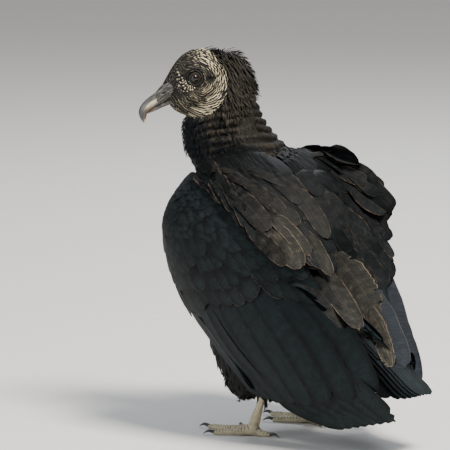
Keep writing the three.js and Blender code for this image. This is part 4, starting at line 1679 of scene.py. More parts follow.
class Coat:
    """Feathers gathered as arrays and joined into one closed-bodied mesh."""

    def __init__(self, name: str, seed: int) -> None:
        """Starts an empty coat with its own repeatable random draws.

        Args:
            name: the coat's name.
            seed: where its draws start.
        """
        self.name = name
        self.rng = np.random.default_rng(seed)
        self.batches: list[tuple[Array, ...]] = []
        self.count = 0

    def _take(self, faces: Array, *carried: Array) -> None:
        """Adds a batch of four-sided faces, with the points, vane, tone and bake place of each vertex.

        Args:
            faces: the faces, numbered from zero.
            carried: points, vane, tone and bake place, one row for each vertex.
        """
        rows = [values.reshape(-1, values.shape[-1]) for values in (faces + self.count, *carried)]
        self.batches.append(tuple(rows))
        self.count += len(rows[1])

    def grow(
        self,
        lines: Array,
        normals: Array,
        half_width: Array,
        shape: FeatherShape,
        weather: Array | float = 0.3,
        painted_shade: Array | float = 0.0,
    ) -> None:
        """Grows feathers along lines.

        Args:
            lines: the shafts, as one point in metres for each feather and row.
            normals: the way each feather faces at each of those points.
            half_width: half of each feather's greatest width, in metres.
            shape: the kind of feather.
            weather: how worn and brown each feather is, from zero to one.
            painted_shade: how much painted shade darkens each feather, for each feather or for each row of
                it.
        """
        if not len(lines):
            return
        many, rows, columns = len(lines), shape.rows, shape.columns
        share = shape.rests()
        ahead = unit(np.gradient(lines, axis=1))
        side = unit(np.cross(ahead, normals))
        up = np.cross(side, ahead)
        across = np.linspace(-1.0, 1.0, columns)
        wide = np.asarray(half_width)[:, None] * shape.width(share)[None, :]
        fray = 1 - shape.ragged * self.rng.random((many, rows, 2)) ** 2
        fray *= np.where(self.rng.random((many, rows, 2)) < shape.splits, self.rng.uniform(0.25, 0.7), 1.0)
        edge = np.abs(across)[None, None, :] ** 2
        trim = np.where(across[None, None, :] < 0, fray[:, :, :1], fray[:, :, 1:])
        reach = across[None, None, :] * wide[:, :, None] * (1 - edge + edge * trim)
        rise = wide[:, :, None] * (shape.camber * (1 - edge) + shape.roll * across[None, None, :])
        run = shape.barb * np.abs(reach) * np.clip(1.6 - 1.2 * share, 0, 1)[None, :, None]
        top = lines[:, :, None] + side[:, :, None] * reach[..., None] + up[:, :, None] * rise[..., None]
        top = top + ahead[:, :, None] * run[..., None]
        depth = shape.thickness * MM * (1 - edge[:, :, 1:-1])
        inner = top[:, 1:-1, 1:-1] - up[:, 1:-1, None] * depth[..., None]
        top_index = np.arange(rows * columns).reshape(rows, columns)
        low_index = top_index.copy()
        low_index[1:-1, 1:-1] = rows * columns + np.arange((rows - 2) * (columns - 2)).reshape(rows - 2, -1)
        one = np.concatenate([quads(top_index), quads(low_index)[:, [0, 3, 2, 1]]])
        each = rows * columns + (rows - 2) * (columns - 2)
        faces = one[None] + each * np.arange(many)[:, None, None]
        length = np.linalg.norm(np.diff(lines, axis=1), axis=2).sum(axis=1)
        seed = self.rng.random(many)
        grid = np.ones((many, rows, columns))
        vane = np.stack(
            [
                grid * across,
                length[:, None, None] * share[None, :, None] * grid + np.abs(reach) * 0.6,
                grid * seed[:, None, None],
            ],
            axis=-1,
        )
        worn = np.broadcast_to(np.asarray(weather, float), (many,))
        shade = np.asarray(painted_shade, float)
        shade = shade[:, :, None] if shade.ndim == 2 else np.broadcast_to(shade, (many,))[:, None, None]
        # the tone's third part is painted shade
        tone = np.stack([grid * worn[:, None, None], grid * share[None, :, None], grid * shade], axis=-1)
        patch = np.stack([0.5 * PATCH * across * grid, PATCH * (share[None, :, None] * grid - 0.5)], axis=-1)
        bake = bake_place(lines[:, 0])[:, None, None] + patch

        carried = [(top, inner), *((values, values[:, 1:-1, 1:-1]) for values in (vane, tone, bake))]
        sheets = [[sheet.reshape(many, -1, sheet.shape[-1]) for sheet in pair] for pair in carried]
        self._take(faces, *(np.concatenate(pair, axis=1) for pair in sheets))

    def line(self, nodes: Sequence[str], sink: float = 0.8, weather: float = 0.2) -> None:
        """Lays a copy of CAD plates under the feathers, sunk a little on all sides.

        Args:
            nodes: the plates' names.
            sink: how far each surface is sunk, in millimetres.
            weather: how worn the lining looks.
        """
        for name in nodes:
            copy = healed_copy(name)
            mesh = copy.data
            points = points_of(mesh) - sink * MM * normals_of(mesh)
            corners = np.array([[*p.vertices, p.vertices[-1]][:4] for p in mesh.polygons])
            middle = np.full(len(points), 0.5)
            vane = np.stack([middle, points[:, 2] * 1.2, middle], axis=1)
            # the lining's tone: wear, share along, and painted shade of 0.3
            tone = np.tile([weather, 0.4, 0.3], (len(points), 1))
            self._take(corners, points, vane, tone, bake_place(points))
            bpy.data.objects.remove(copy)

    def build(self, finish: VaneFinish, slot: str, nodes: Sequence[str]) -> None:
        """Joins the feathers into one piece and dresses it.

        Args:
            finish: the feathers' finish.
            slot: not used.
            nodes: the CAD nodes that the piece stands for.
        """
        faces, points, vane, tone, bake = (np.concatenate(rows) for rows in zip(*self.batches))
        mesh = bpy.data.meshes.new(self.name)
        triangle = faces[:, 2] == faces[:, 3]
        sizes = np.where(triangle, 3, 4)
        starts = np.concatenate([[0], np.cumsum(sizes)[:-1]])
        keep = np.ones(faces.shape, bool)
        keep[triangle, 3] = False
        mesh.vertices.add(len(points))
        mesh.vertices.foreach_set("co", points.astype(np.float32).ravel())
        mesh.loops.add(int(sizes.sum()))
        mesh.loops.foreach_set("vertex_index", faces[keep].astype(np.int32))
        mesh.polygons.add(len(faces))
        mesh.polygons.foreach_set("loop_start", starts.astype(np.int32))
        mesh.update(calc_edges=True)
        mesh.shade_smooth()
        mesh.set_sharp_from_angle(angle=RIM_ANGLE)
        store(mesh, "vane", vane)
        store(mesh, "tone", tone)
        layer = mesh.uv_layers.new(name="OFBake")
        layer.uv.foreach_set("vector", bake[faces[keep]].astype(np.float32).ravel())
        finish_piece(new_object(mesh), finish.material(), nodes)


@dataclass(frozen=True)
class Net:
    """A smooth surface through rows of points in the bird's millimetres."""

    table: Array
    side: float = 1.0

    def at(self, u: Array, v: Array) -> Array:
        """The surface's points, in millimetres, U along a row and V from the first row to the last.

        Args:
            u: how far along a row, from zero to one.
            v: how far from the first row to the last, from zero to one.

        Returns:
            The points.
        """
        u, v = np.broadcast_arrays(np.asarray(u, float), np.asarray(v, float))
        rows = len(self.table)
        flat_u, flat_v = u.ravel(), v.ravel()
        along = [curve_through(self.table[row], flat_u) for row in range(rows)]
        stacked = np.stack(along, axis=1)
        place = np.clip(flat_v, 0.0, 1.0) * (rows - 1)
        start = np.minimum(np.floor(place).astype(int), rows - 2)
        t = (place - start)[:, None]
        before, after = 2 * stacked[:, :1] - stacked[:, 1:2], 2 * stacked[:, -1:] - stacked[:, -2:-1]
        padded = np.concatenate([before, stacked, after], axis=1)
        index = np.arange(len(flat_u))
        made = spline(*(padded[index, start + step] for step in range(4)), t)
        over = (flat_v - np.clip(flat_v, 0.0, 1.0))[:, None] * (rows - 1)
        made = (made + over * (padded[index, rows] - padded[index, rows - 1])) * [self.side, 1.0, 1.0]
        return made.reshape(*u.shape, 3)

    def normal(self, u: Array, v: Array) -> Array:
        """The surface's outward unit normals.

        Args:
            u: how far along a row.
            v: how far down the rows.

        Returns:
            The normals.
        """
        across = self.at(np.clip(u + 0.01, 0, 1), v) - self.at(np.clip(u - 0.01, 0, 1), v)
        down = self.at(u, np.clip(v + 0.01, 0, 1)) - self.at(u, np.clip(v - 0.01, 0, 1))
        return unit(np.cross(down, across)) * self.side


def net_feathers(
    coat: Coat,
    net: Net,
    starts: Array,
    ends: Array,
    half_width: Array,
    shape: FeatherShape,
    lift: tuple[float, float],
    weather: Array | float = 0.3,
    painted_shade: float = 0.0,
) -> None:
    """Grows feathers on a net.

    Args:
        coat: the coat that takes them.
        net: the surface.
        starts: U and V of each root.
        ends: U and V of each tip.
        half_width: half widths, in millimetres.
        shape: the kind of feather.
        lift: height over the surface at root and tip, in millimetres.
        weather: how worn each feather is.
        painted_shade: how much painted shade darkens them.
    """
    share = shape.rests()[None, :, None]
    path = starts[:, None] * (1 - share) + ends[:, None] * share
    normals = net.normal(path[..., 0], path[..., 1])
    height = lift[0] + (lift[1] - lift[0]) * share
    lines = BIRD.world(net.at(path[..., 0], path[..., 1]) + normals * height)
    coat.grow(lines, normals, np.asarray(half_width) * MM, shape, weather, painted_shade)


# ---------------------------------------------------------------- the coat on the skin
def lie(points: Array, normals: Array) -> Array:
    """The way that feathers lie on the skin.

    Args:
        points: places in metres.
        normals: the skin's normals there.

    Returns:
        Unit directions from root to tip along the surface.
    """
    place = BIRD.local(points)
    z = place[:, 2]
    back = 0.25 + 0.75 * ease(normals[:, 1] + 0.8 * normals[:, 2], -0.2, 0.9) * ease(330 - z, 0.0, 60.0)
    neck = ease(z, 300.0, 350.0)
    nape = HEAD.local(points)
    hood = ease(-nape[:, 0], 0.0, 25.0) * ease(z, 350.0, 390.0)
    flow = np.stack([0.0 * z, back + 0.35 * hood - 0.1 * neck * (1 - hood), np.full(len(z), -1.0)], axis=1)
    flow[:, 0] += 0.12 * np.sign(place[:, 0]) * ease(120 - z, 0.0, 60.0)
    flow -= np.sum(flow * normals, axis=1, keepdims=True) * normals
    return unit(flow)


@dataclass
class SkinField:
    """Finds places on the skin and lays lines along it."""

    skin: bpy.types.Object
    tree: BVHTree = field(init=False)
    middle: Array = field(init=False)
    facing: Array = field(init=False)
    area: Array = field(init=False)

    def __post_init__(self) -> None:
        """Builds the search tree and reads the faces' middles, normals and areas."""
        mesh = self.skin.data
        self.tree = tree_of(mesh)
        self.middle = read(mesh.polygons, "center")
        self.facing = read(mesh.polygons, "normal")
        self.area = read(mesh.polygons, "area", 1)[:, 0]

    def scatter(self, mask: Array, spacing: float, rng: np.random.Generator) -> tuple[Array, Array]:
        """Spreads roots over part of the skin, none nearer to another than a spacing.

        Args:
            mask: for each face, whether it takes roots.
            spacing: the least distance, in millimetres.
            rng: the draws.

        Returns:
            Places and normals.
        """
        middle, facing, area = self.middle[mask], self.facing[mask], self.area[mask]
        wanted = int(6 * area.sum() / (spacing * MM) ** 2)
        picks = rng.choice(len(area), wanted, p=area / area.sum())
        tangent = unit(np.cross(facing[picks], [0.31, 0.52, 0.79]))
        other = np.cross(facing[picks], tangent)
        reach = np.sqrt(area[picks])[:, None]
        jitter = rng.uniform(-0.5, 0.5, (wanted, 2))
        points = middle[picks] + reach * (tangent * jitter[:, :1] + other * jitter[:, 1:])
        cell = spacing * MM
        taken: dict[tuple[int, int, int], list[int]] = {}
        kept = []
        keys = np.floor(points / cell).astype(int)
        around = [(i, j, k) for i in (-1, 0, 1) for j in (-1, 0, 1) for k in (-1, 0, 1)]
        for index, key in enumerate(map(tuple, keys)):
            near = [n for i, j, k in around for n in taken.get((key[0] + i, key[1] + j, key[2] + k), ())]
            if near and np.min(np.sum((points[near] - points[index]) ** 2, axis=1)) < cell * cell:
                continue
            taken.setdefault(key, []).append(index)
            kept.append(index)
        return self.snap(points[kept])

    def snap(self, points: Array) -> tuple[Array, Array]:
        """The nearest places on the skin, and its normals there.

        Args:
            points: places in metres.

        Returns:
            The nearest places and the normals.
        """
        found = [self.tree.find_nearest(Vector(p)) for p in points]
        return np.array([f[0] for f in found]), np.array([f[1] for f in found])

    def lay(
        self, roots: Array, normals: Array, length: Array, shape: FeatherShape, lift: tuple[float, float]
    ) -> tuple[Array, Array]:
        """Lays shafts along the skin.

        Args:
            roots: the roots in metres.
            normals: the skin's normals there.
            length: each feather's length in millimetres.
            shape: the kind of feather, for its rows.
            lift: height over the skin at root and tip, in millimetres.

        Returns:
            The shafts and the normals along them.
        """
        share = shape.rests()
        line, facing = [roots], [normals]
        point, normal = roots, normals
        for start, end in zip(share[:-1], share[1:]):
            step = lie(point, normal) * (length * MM * (end - start))[:, None]
            point, normal = self.snap(point + step)
            line.append(point)
            facing.append(unit(normal + facing[-1]))
        lines, normals_along = np.stack(line, axis=1), np.stack(facing, axis=1)
        height = (lift[0] + (lift[1] - lift[0]) * share**1.2)[None, :, None] * MM
        return lines + normals_along * height, normals_along


@dataclass(frozen=True)
class Tract:
    """A region of small feathers on the skin."""

    spacing: float
    length: float
    half_width: float
    lift: tuple[float, float]
    shape: FeatherShape
    weather: float
    spread: float = 0.2


COLLAR = 288.0  # heights in the bird's millimetres, where neck, mantle, thighs, hood and throat begin or end
MANTLE_FOOT = 225
THIGH_TOP = 118
HOOD_FOOT = 335
THROAT_FOOT = 318


class Region(Enum):
    """The regions of the skin that bear feathers, told by where a place lies."""

    HOOD = "hood"
    THROAT = "throat"
    NECK = "neck"
    TRUNK = "trunk"
    MANTLE = "mantle"
    THIGH = "thigh"

    @staticmethod
    def of(points: Array, normals: Array) -> Array:
        """Names the region of each place.

        Args:
            points: places in metres.
            normals: the skin's normals there.

        Returns:
            The regions' values, or an empty word where the skin is bare.
        """
        place, head = BIRD.local(points), HEAD.local(points)
        _, y, z = place.T
        collar = COLLAR + 7.0 * wave_warp(place, 16.0) - 8.0 * ease(-y, 40.0, 90.0)
        from_head = np.linalg.norm(head - [CHEEK[0], 0.0, CHEEK[1]], axis=1)
        named = np.full(len(points), Region.TRUNK.value, dtype=object)
        named[z > collar] = Region.NECK.value
        upward = normals[:, 2] * 0.8 + normals[:, 1] > 0.25
        named[(z > MANTLE_FOOT) & (z <= collar + 4.0) & upward] = Region.MANTLE.value
        named[z < THIGH_TOP] = Region.THIGH.value
        named[(z > HOOD_FOOT) & (head[:, 0] < -6) & (from_head < 62)] = Region.HOOD.value
        under_head = (head[:, 0] > -22) & (head[:, 2] < -20) & (normals[:, 1] < -0.05)
        named[under_head & (z > THROAT_FOOT + 9.0 * wave_warp(place, 12.0))] = Region.THROAT.value
        return named


SPIKY = FeatherShape(rows=5, full_from=0.35, round_from=0.25, tip_power=0.9, camber=0.3, ragged=0.15)
FINE = FeatherShape(
    rows=4, round_from=0.35, tip_power=0.7, camber=0.1, roll=0.04, thickness=0.25, ragged=0.12
)
SOFT = FeatherShape(rows=6, round_from=0.45, tip_power=0.6, ragged=0.12)
SHAGGY = FeatherShape(rows=6, round_from=0.3, tip_power=0.85, ragged=0.2, splits=0.06)

TRACTS: dict[Region, Tract] = {
    Region.HOOD: Tract(1.9, 13.5, 1.0, (0.3, 8.0), SPIKY, 0.4, 0.4),
    Region.THROAT: Tract(2.3, 9.5, 1.1, (0.3, 5.0), SPIKY, 0.05, 0.3),
    Region.NECK: Tract(1.5, 6.5, 0.8, (0.2, 1.1), FINE, 0.12, 0.15),
    Region.TRUNK: Tract(8.0, 27.0, 7.0, (1.0, 5.5), SOFT, 0.15),
    Region.MANTLE: Tract(6.5, 26.0, 5.5, (0.6, 4.0), SOFT, 0.3),
    Region.THIGH: Tract(4.6, 27.0, 3.0, (0.8, 5.0), SHAGGY, 0.15, 0.35),
}


@dataclass
class BodyCoat:
    """The small feathers over neck, trunk and thighs."""

    field: SkinField

    def build(self) -> None:
        """Makes one piece for each region."""
        bare = bareness(self.field.middle)
        regions = Region.of(self.field.middle, self.field.facing)
        for number, (region, tract) in enumerate(TRACTS.items()):
            coat = Coat(f"coat_{region.value}", Seed.BODY + number)
            mask = (regions == region.value) & (bare < 0.0)
            roots, normals = self.field.scatter(mask, tract.spacing, coat.rng)
            self._fill(coat, tract, roots, normals, region)
            coat.build(FINISHES[region], "plumage", [])

    def _fill(self, coat: Coat, tract: Tract, roots: Array, normals: Array, region: Region) -> None:
        """Grows one tract's feathers.

        Args:
            coat: the coat that takes them.
            tract: their sizes.
            roots: where they start.
            normals: the skin's normals there.
            region: the region, which tells how the neck is creased.
        """
        draw = coat.rng
        length = tract.length * draw.uniform(1 - tract.spread, 1 + tract.spread, len(roots))
        lines, facing = self.field.lay(roots, normals, length, tract.shape, tract.lift)
        # painted shade in the folds between the neck's rolls
        rolls, painted_shade = neck_rolls(lines.reshape(-1, 3))
        rolls, painted_shade = rolls.reshape(lines.shape[:2]), painted_shade.reshape(lines.shape[:2])
        lines = lines + facing * (0.8 * MM * rolls)[..., None]
        stray = draw.normal(0.0, 0.5 * tract.spread, (len(roots), 1, 1)) * length[:, None, None] * MM
        sideways = unit(np.cross(np.gradient(lines, axis=1), facing))
        lines = lines + sideways * stray * tract.shape.rests()[None, :, None] ** 1.5
        # browner and paler on the rolls' ridges: partly wear, partly painted light on the ridges
        ridge = np.clip(rolls[:, -2], 0.0, 1.0) * ease(BIRD.local(roots)[:, 2], 292.0, 330.0)
        weather = np.clip(tract.weather + 0.5 * ridge + draw.normal(0.0, 0.07, len(roots)), 0.0, 1.0)
        if region is Region.NECK:
            weather = weather * (1 - 0.9 * ease(-normals[:, 1], 0.0, 0.6))
        half_width = tract.half_width * MM * draw.uniform(0.8, 1.2, len(roots))
        coat.grow(lines, facing, half_width, tract.shape, weather, painted_shade)


BLACK = dict(base=(0.0060, 0.0078, 0.0080), worn=(0.030, 0.026, 0.021), edge=(0.045, 0.04, 0.034))
BROWN_EDGE: Colour = (0.08, 0.066, 0.05)
FINISHES: dict[Region, VaneFinish] = {
    Region.HOOD: VaneFinish("hood_vane", (0.009, 0.0085, 0.0075), (0.075, 0.063, 0.047), BROWN_EDGE),
    Region.THROAT: VaneFinish(
        "throat_vane", (0.0068, 0.0085, 0.0112), (0.018, 0.021, 0.027), (0.035, 0.04, 0.05)
    ),
    Region.NECK: VaneFinish("neck_vane", (0.0085, 0.0082, 0.0070), (0.090, 0.074, 0.054), BROWN_EDGE),
    Region.TRUNK: VaneFinish("trunk_vane", **BLACK),
    Region.MANTLE: VaneFinish(
        "mantle_vane",
        (0.0070, 0.0072, 0.0070),
        (0.024, 0.021, 0.017),
        (0.05, 0.043, 0.034),
        sheen=0.0,
        specular=0.04,
    ),
    Region.THIGH: VaneFinish("thigh_vane", **BLACK),
}
FLIGHT_FINISH = VaneFinish(
    "flight_vane",
    (0.0064, 0.0122, 0.0138),
    (0.0225, 0.0330, 0.0355),
    (0.026, 0.029, 0.028),
    streak=0.3,
    turn=0.65,
    covered=0.12,
)
COVERT_FINISH = VaneFinish(
    "covert_vane",
    (0.0074, 0.0128, 0.0136),
    (0.025, 0.033, 0.033),
    (0.035, 0.037, 0.035),
    turn=0.75,
    covered=0.78,
)
SCAPULAR_FINISH = VaneFinish(
    "scapular_vane",
    (0.0062, 0.0068, 0.0066),
    (0.0515, 0.0488, 0.0415),
    (0.17, 0.125, 0.09),
    scuff=(0.30, 0.27, 0.20),
    streak=0.5,
    edge_width=0.06,
    sheen=0.0,
    specular=0.07,
)
DARK_SCAPULAR_FINISH = VaneFinish(
    "dark_scapular_vane",
    (0.0062, 0.0085, 0.0098),
    (0.0285, 0.0300, 0.0296),
    (0.11, 0.078, 0.058),
    edge_width=0.06,
    sheen=0.0,
    specular=0.05,
)
# a paler bluish slate than the other flight feathers: partly their own colour, partly painted sheen
SLATE_AND_SHEEN_FINISH = VaneFinish(
    "slate_vane", (0.012, 0.0165, 0.024), (0.042, 0.051, 0.066), (0.08, 0.076, 0.07), edge_width=0.05
)
HIDDEN_FINISH = VaneFinish("hidden_vane", (0.012, 0.012, 0.014), (0.03, 0.026, 0.022), (0.05, 0.04, 0.03))


# ---------------------------------------------------------------- wings, tail and scapulars
def rows_of(*rows: Sequence[Place]) -> Array:
    """A net's table from its rows.

    Args:
        rows: the rows, each a list of places.

    Returns:
        The table.
    """
    return np.array(rows, float)


WING_NETS = {
    "left": rows_of(
        [(68, -74, 298), (78, -61, 303), (84, -42, 305), (78, -16, 307), (52, 8, 304)],
        [(84, -90, 262), (103, -71, 268), (109, -38, 274), (101, 10, 279), (72, 50, 270)],
        [(88, -93, 226), (108, -74, 230), (118, -32, 236), (115, 38, 246), (88, 98, 244)],
        [(90, -66, 160), (107, -48, 167), (120, -2, 176), (117, 64, 190), (88, 134, 196)],
        [(88, -14, 104), (100, -2, 112), (111, 32, 118), (106, 98, 130), (74, 178, 140)],
        [(80, 36, 60), (86, 46, 58), (88, 80, 55), (82, 130, 56), (60, 200, 72)],
    ),
    "right": rows_of(
        [(68, -74, 298), (78, -61, 303), (82, -42, 304), (74, -16, 304), (50, 4, 300)],
        [(84, -90, 262), (103, -71, 268), (107, -38, 272), (98, 8, 274), (70, 40, 264)],
        [(88, -93, 226), (106, -74, 230), (114, -32, 236), (110, 30, 242), (84, 78, 234)],
        [(90, -66, 160), (104, -48, 167), (114, -2, 176), (106, 48, 184), (80, 96, 184)],
        [(88, -14, 104), (97, -2, 112), (105, 32, 118), (92, 78, 126), (62, 134, 132)],
        [(80, 36, 60), (84, 46, 60), (84, 76, 57), (70, 110, 58), (40, 168, 76)],
    ),
}
PRIMARY_NETS = {
    "left": rows_of(
        [(92, -20, 150), (88, 60, 160)],
        [(84, 30, 96), (78, 120, 118)],
        [(74, 88, 54), (64, 182, 82)],
        [(58, 160, 34), (46, 226, 44)],
    ),
    "right": rows_of(
        [(88, -20, 150), (80, 44, 158)],
        [(78, 24, 96), (60, 96, 120)],
        [(64, 76, 58), (44, 146, 96)],
        [(50, 132, 54), (32, 186, 98)],
    ),
}
SCAPULAR_FANS = {
    "left": (
        ((84, -46, 313), (98, -12, 298)),
        ((82, -38, 318), (109, 34, 273)),
        ((74, -32, 322), (114, 74, 246)),
        ((64, -26, 325), (106, 112, 221)),
        ((52, -18, 327), (88, 134, 214)),
        ((40, -8, 328), (62, 140, 206)),
        ((28, 2, 326), (32, 112, 242)),
    ),
    "right": (
        ((82, -44, 310), (98, 4, 295)),
        ((78, -36, 315), (88, 49, 306)),
        ((70, -30, 318), (95, 56, 289)),
        ((60, -22, 320), (103, 84, 260)),
        ((48, -12, 321), (101, 84, 228)),
        ((36, -2, 321), (87, 104, 194)),
        ((22, 8, 320), (56, 112, 196)),
        ((8, 14, 319), (24, 104, 220)),
        ((-6, 16, 318), (-5, 112, 196)),
    ),
}
TERTIAL_FANS = {
    "left": (
        ((96, 108, 201), (98, 150, 182)),
        ((90, 111, 204), (88, 184, 154)),
        ((82, 113, 207), (75, 202, 150)),
        ((73, 113, 209), (55, 216, 132)),
        ((64, 112, 211), (45, 226, 108)),
        ((54, 110, 213), (28, 200, 160)),
    ),
    "right": (
        ((98, 62, 205), (87, 101, 160)),
        ((88, 74, 205), (73, 128, 142)),
        ((77, 82, 204), (54, 152, 118)),
        ((64, 86, 204), (33, 180, 90)),
    ),
}

COVERT = FeatherShape(
    rows=8, columns=5, round_from=0.45, tip_power=0.55, camber=0.1, roll=0.05, thickness=0.4, ragged=0.1
)
LONG_COVERT = FeatherShape(
    rows=12, columns=5, round_from=0.72, camber=0.08, roll=0.05, thickness=0.5, ragged=0.05
)
QUILL = FeatherShape(
    rows=26,
    columns=7,
    root_width=0.7,
    round_from=0.84,
    camber=0.03,
    roll=0.035,
    thickness=0.6,
    ragged=0.05,
    splits=0.01,
)


@dataclass(frozen=True)
class CovertRow:
    """One row of coverts across a wing's net."""

    root_v: float
    tip_v: float
    count: int
    half_width: float
    lift: tuple[float, float]  # height over the net at root and tip
    weather: float = 0.2
    shape: FeatherShape = LONG_COVERT


@dataclass
class Wings:
    """The folded wings: rows of coverts, secondaries and primaries on their nets."""

    rows: tuple[CovertRow, ...] = (
        CovertRow(0.50, 0.655, 15, 14.5, (-0.6, 0.9)),
        CovertRow(0.455, 0.585, 17, 12.5, (0.0, 1.5)),
        CovertRow(0.405, 0.530, 19, 11.0, (0.3, 2.0)),
        CovertRow(0.355, 0.470, 21, 9.6, (0.5, 2.4)),
    )
    lesser_from: float = 0.385
    lesser_step: float = 0.032
    lesser_length: float = 0.085
    lesser_count: int = 24
    slant: float = 0.03
    unrest: float = 0.011
    secondaries: int = 11
    primaries: int = 7

    def build(self) -> None:
        """Makes coverts and flights of both wings."""
        for word, side in SIDES:
            net = Net(WING_NETS[word], side)
            self._coverts(word, net)
            u = np.linspace(0.04, 0.97, self.secondaries)
            starts = np.stack([np.clip(u - 0.02, 0, 1), np.full(len(u), 0.56)], axis=1)
            ends = np.stack([np.clip(u + 0.03, 0, 1), 1.0 + 0.012 * np.sin(3.1 * np.arange(len(u)))], axis=1)
            coat = Coat(f"secondaries_{word}", Seed.SECONDARIES + len(word))
            self._flights(coat, net, starts, ends, 15.0, (-3.0, -2.2), 0.12)
            u = np.linspace(0.03, 0.97, self.primaries)
            starts = np.stack([u, np.full(len(u), 0.02)], axis=1)
            ends = np.stack([u, 1.0 - 0.02 * np.arange(len(u)) / len(u)], axis=1)
            coat = Coat(f"primaries_{word}", Seed.PRIMARIES + len(word))
            self._flights(coat, Net(PRIMARY_NETS[word], side), starts, ends, 12.5, (0.2, 1.2), 0.2)

    def _row(self, coat: Coat, net: Net, row: CovertRow, number: int) -> None:
        """Grows one row of coverts, shifted by half a feather if its number is odd.

        Args:
            coat: the coat that takes it.
            net: the wing's surface.
            row: the row's sizes.
            number: its number.
        """
        draw = coat.rng
        u = (np.arange(row.count + 1) + 0.5 * (number % 2)) / row.count
        u = u[(u > -0.02) & (u < 1.02)]
        slant = self.slant * (0.5 + u)
        jitter = draw.normal(0.0, self.unrest, (3, len(u)))
        u = np.clip(u + jitter[2], 0.0, 1.0)
        starts = np.stack([np.clip(u - slant, 0, 1), row.root_v + 0 * u], axis=1)
        ends = np.stack([np.clip(u + slant + jitter[0], 0.0, 1.0), row.tip_v + jitter[1]], axis=1)
        width = row.half_width * (1 - 0.25 * np.abs(2 * u - 1)) * draw.uniform(0.85, 1.12, len(u))
        worn = np.clip(row.weather + draw.normal(0.0, 0.12, len(u)), 0.0, 1.0)
        net_feathers(coat, net, starts, ends, width, row.shape, row.lift, worn)

    def _coverts(self, word: str, net: Net) -> None:
        """Makes the coverts of one wing, from the longest up to the shoulder.

        Args:
            word: the side's name.
            net: the wing's surface.
        """
        node = f"wing_{word}_coverts"
        coat = Coat(f"coverts_{word}", Seed.COVERTS + len(word))
        coat.line([node], 1.0)
        for number, row in enumerate(self.rows):
            self._row(coat, net, row, number)
        v, number = self.lesser_from, 0
        while v > -0.01:
            share = v / self.lesser_from
            count = round(self.lesser_count * (1 + 0.25 * (1 - share)))
            end = v + self.lesser_length * (0.75 + 0.25 * share)
            half = 7.6 - 2.2 * (1 - share)
            self._row(coat, net, CovertRow(max(v, 0.0), end, count, half, (0.4, 2.2), 0.18, COVERT), number)
            v -= self.lesser_step
            number += 1
        coat.build(COVERT_FINISH, "plumage", [node])

    def _flights(
        self,
        coat: Coat,
        net: Net,
        starts: Array,
        ends: Array,
        half: float,
        lift: tuple[float, float],
        weather: float,
    ) -> None:
        """Makes the long feathers of one wing over the plate that their coat is named after.

        Args:
            coat: the empty coat, with its name and draws.
            net: the surface.
            starts: U and V of each root.
            ends: U and V of each tip.
            half: the half width of each, in millimetres.
            lift: height over the net at root and tip.
            weather: how worn they are.
        """
        part, word = coat.name.split("_")
        node = f"wing_{word}_{part}"
        coat.line([node])
        net_feathers(coat, net, starts, ends, np.full(len(starts), half), QUILL, lift, weather)
        coat.build(FLIGHT_FINISH, "flight", [node])


@dataclass
class Tail:
    """The twelve tail feathers."""

    root: tuple[float, float, float] = (0.0, 96.0, 155.0)
    tip: tuple[float, float, float] = (0.0, 224.0, 68.0)
    root_half: float = 14.0  # how far the outermost feather's shaft lies aside, at root and tip
    tip_half: float = 27.0
    half_width: float = 10.5
    arch: float = 9.0
    count: int = 12

    def build(self) -> None:
        """Makes the tail."""
        coat = Coat("tail_vanes", Seed.TAIL)
        coat.line(["tail"], weather=0.05)
        ahead = unit(np.array(self.tip) - np.array(self.root))
        up = np.cross([1.0, 0.0, 0.0], ahead)
        place = np.linspace(-1.0, 1.0, self.count)
        share = QUILL.rests()[None, :, None]
        high = (1.5 - 2.2 * np.abs(place))[:, None, None] * up
        dip = self.arch * (place**2)[:, None] * up
        roots = np.array(self.root) + place[:, None] * [self.root_half, 0, 0] - dip
        tips = np.array(self.tip) + place[:, None] * [self.tip_half, 0, 0] - dip
        tips = tips - ahead * (10 * np.abs(place) ** 3)[:, None]
        lines = roots[:, None] * (1 - share) + tips[:, None] * share + high
        half_width = np.full(self.count, self.half_width * MM)
        coat.grow(BIRD.world(lines), np.broadcast_to(up, lines.shape), half_width, QUILL, 0.02)
        coat.build(FLIGHT_FINISH, "flight", ["tail"])


class Vane(Enum):
    """The forms that a single long feather takes."""

    ROUND = FeatherShape(
        rows=18,
        columns=7,
        root_width=0.6,
        round_from=0.6,
        camber=0.03,
        roll=0.02,
        thickness=0.4,
        ragged=0.05,
    )
    SLIM = FeatherShape(
        rows=14,
        columns=5,
        root_width=0.45,
        round_from=0.4,
        tip_power=0.7,
        camber=0.12,
        roll=0.05,
        ragged=0.08,
    )
    TATTERED = FeatherShape(
        rows=36, columns=7, root_width=0.5, round_from=0.66, camber=0.05, roll=0.04, ragged=0.14, splits=0.08
    )


def fan_net(fan: Sequence[tuple[Place, Place]], side: float, bow: float) -> Net:
    """The outer surface of a fan of long feathers.

    Args:
        fan: root and tip of each feather.
        side: one on the left, minus one on the right.
        bow: how far the feathers bow outward, as a share of their length.

    Returns:
        A net whose columns are the feathers.
    """
    roots, tips = np.array([f[0] for f in fan], float), np.array([f[1] for f in fan], float)
    along = tips - roots
    lift = unit(np.cross(along, np.gradient(roots, axis=0)))
    rows = []
    for share in np.linspace(0.0, 1.0, 5):
        rise = bow * np.linalg.norm(along, axis=1, keepdims=True) * math.sin(math.pi * share)
        rows.append(roots + share * along + rise * lift)
    return Net(np.array(rows), side)


FAN_STEPS = 30  # columns by which a fan is measured
FAN_OVERLAP = 1.25  # half widths from one feather of a row to the next


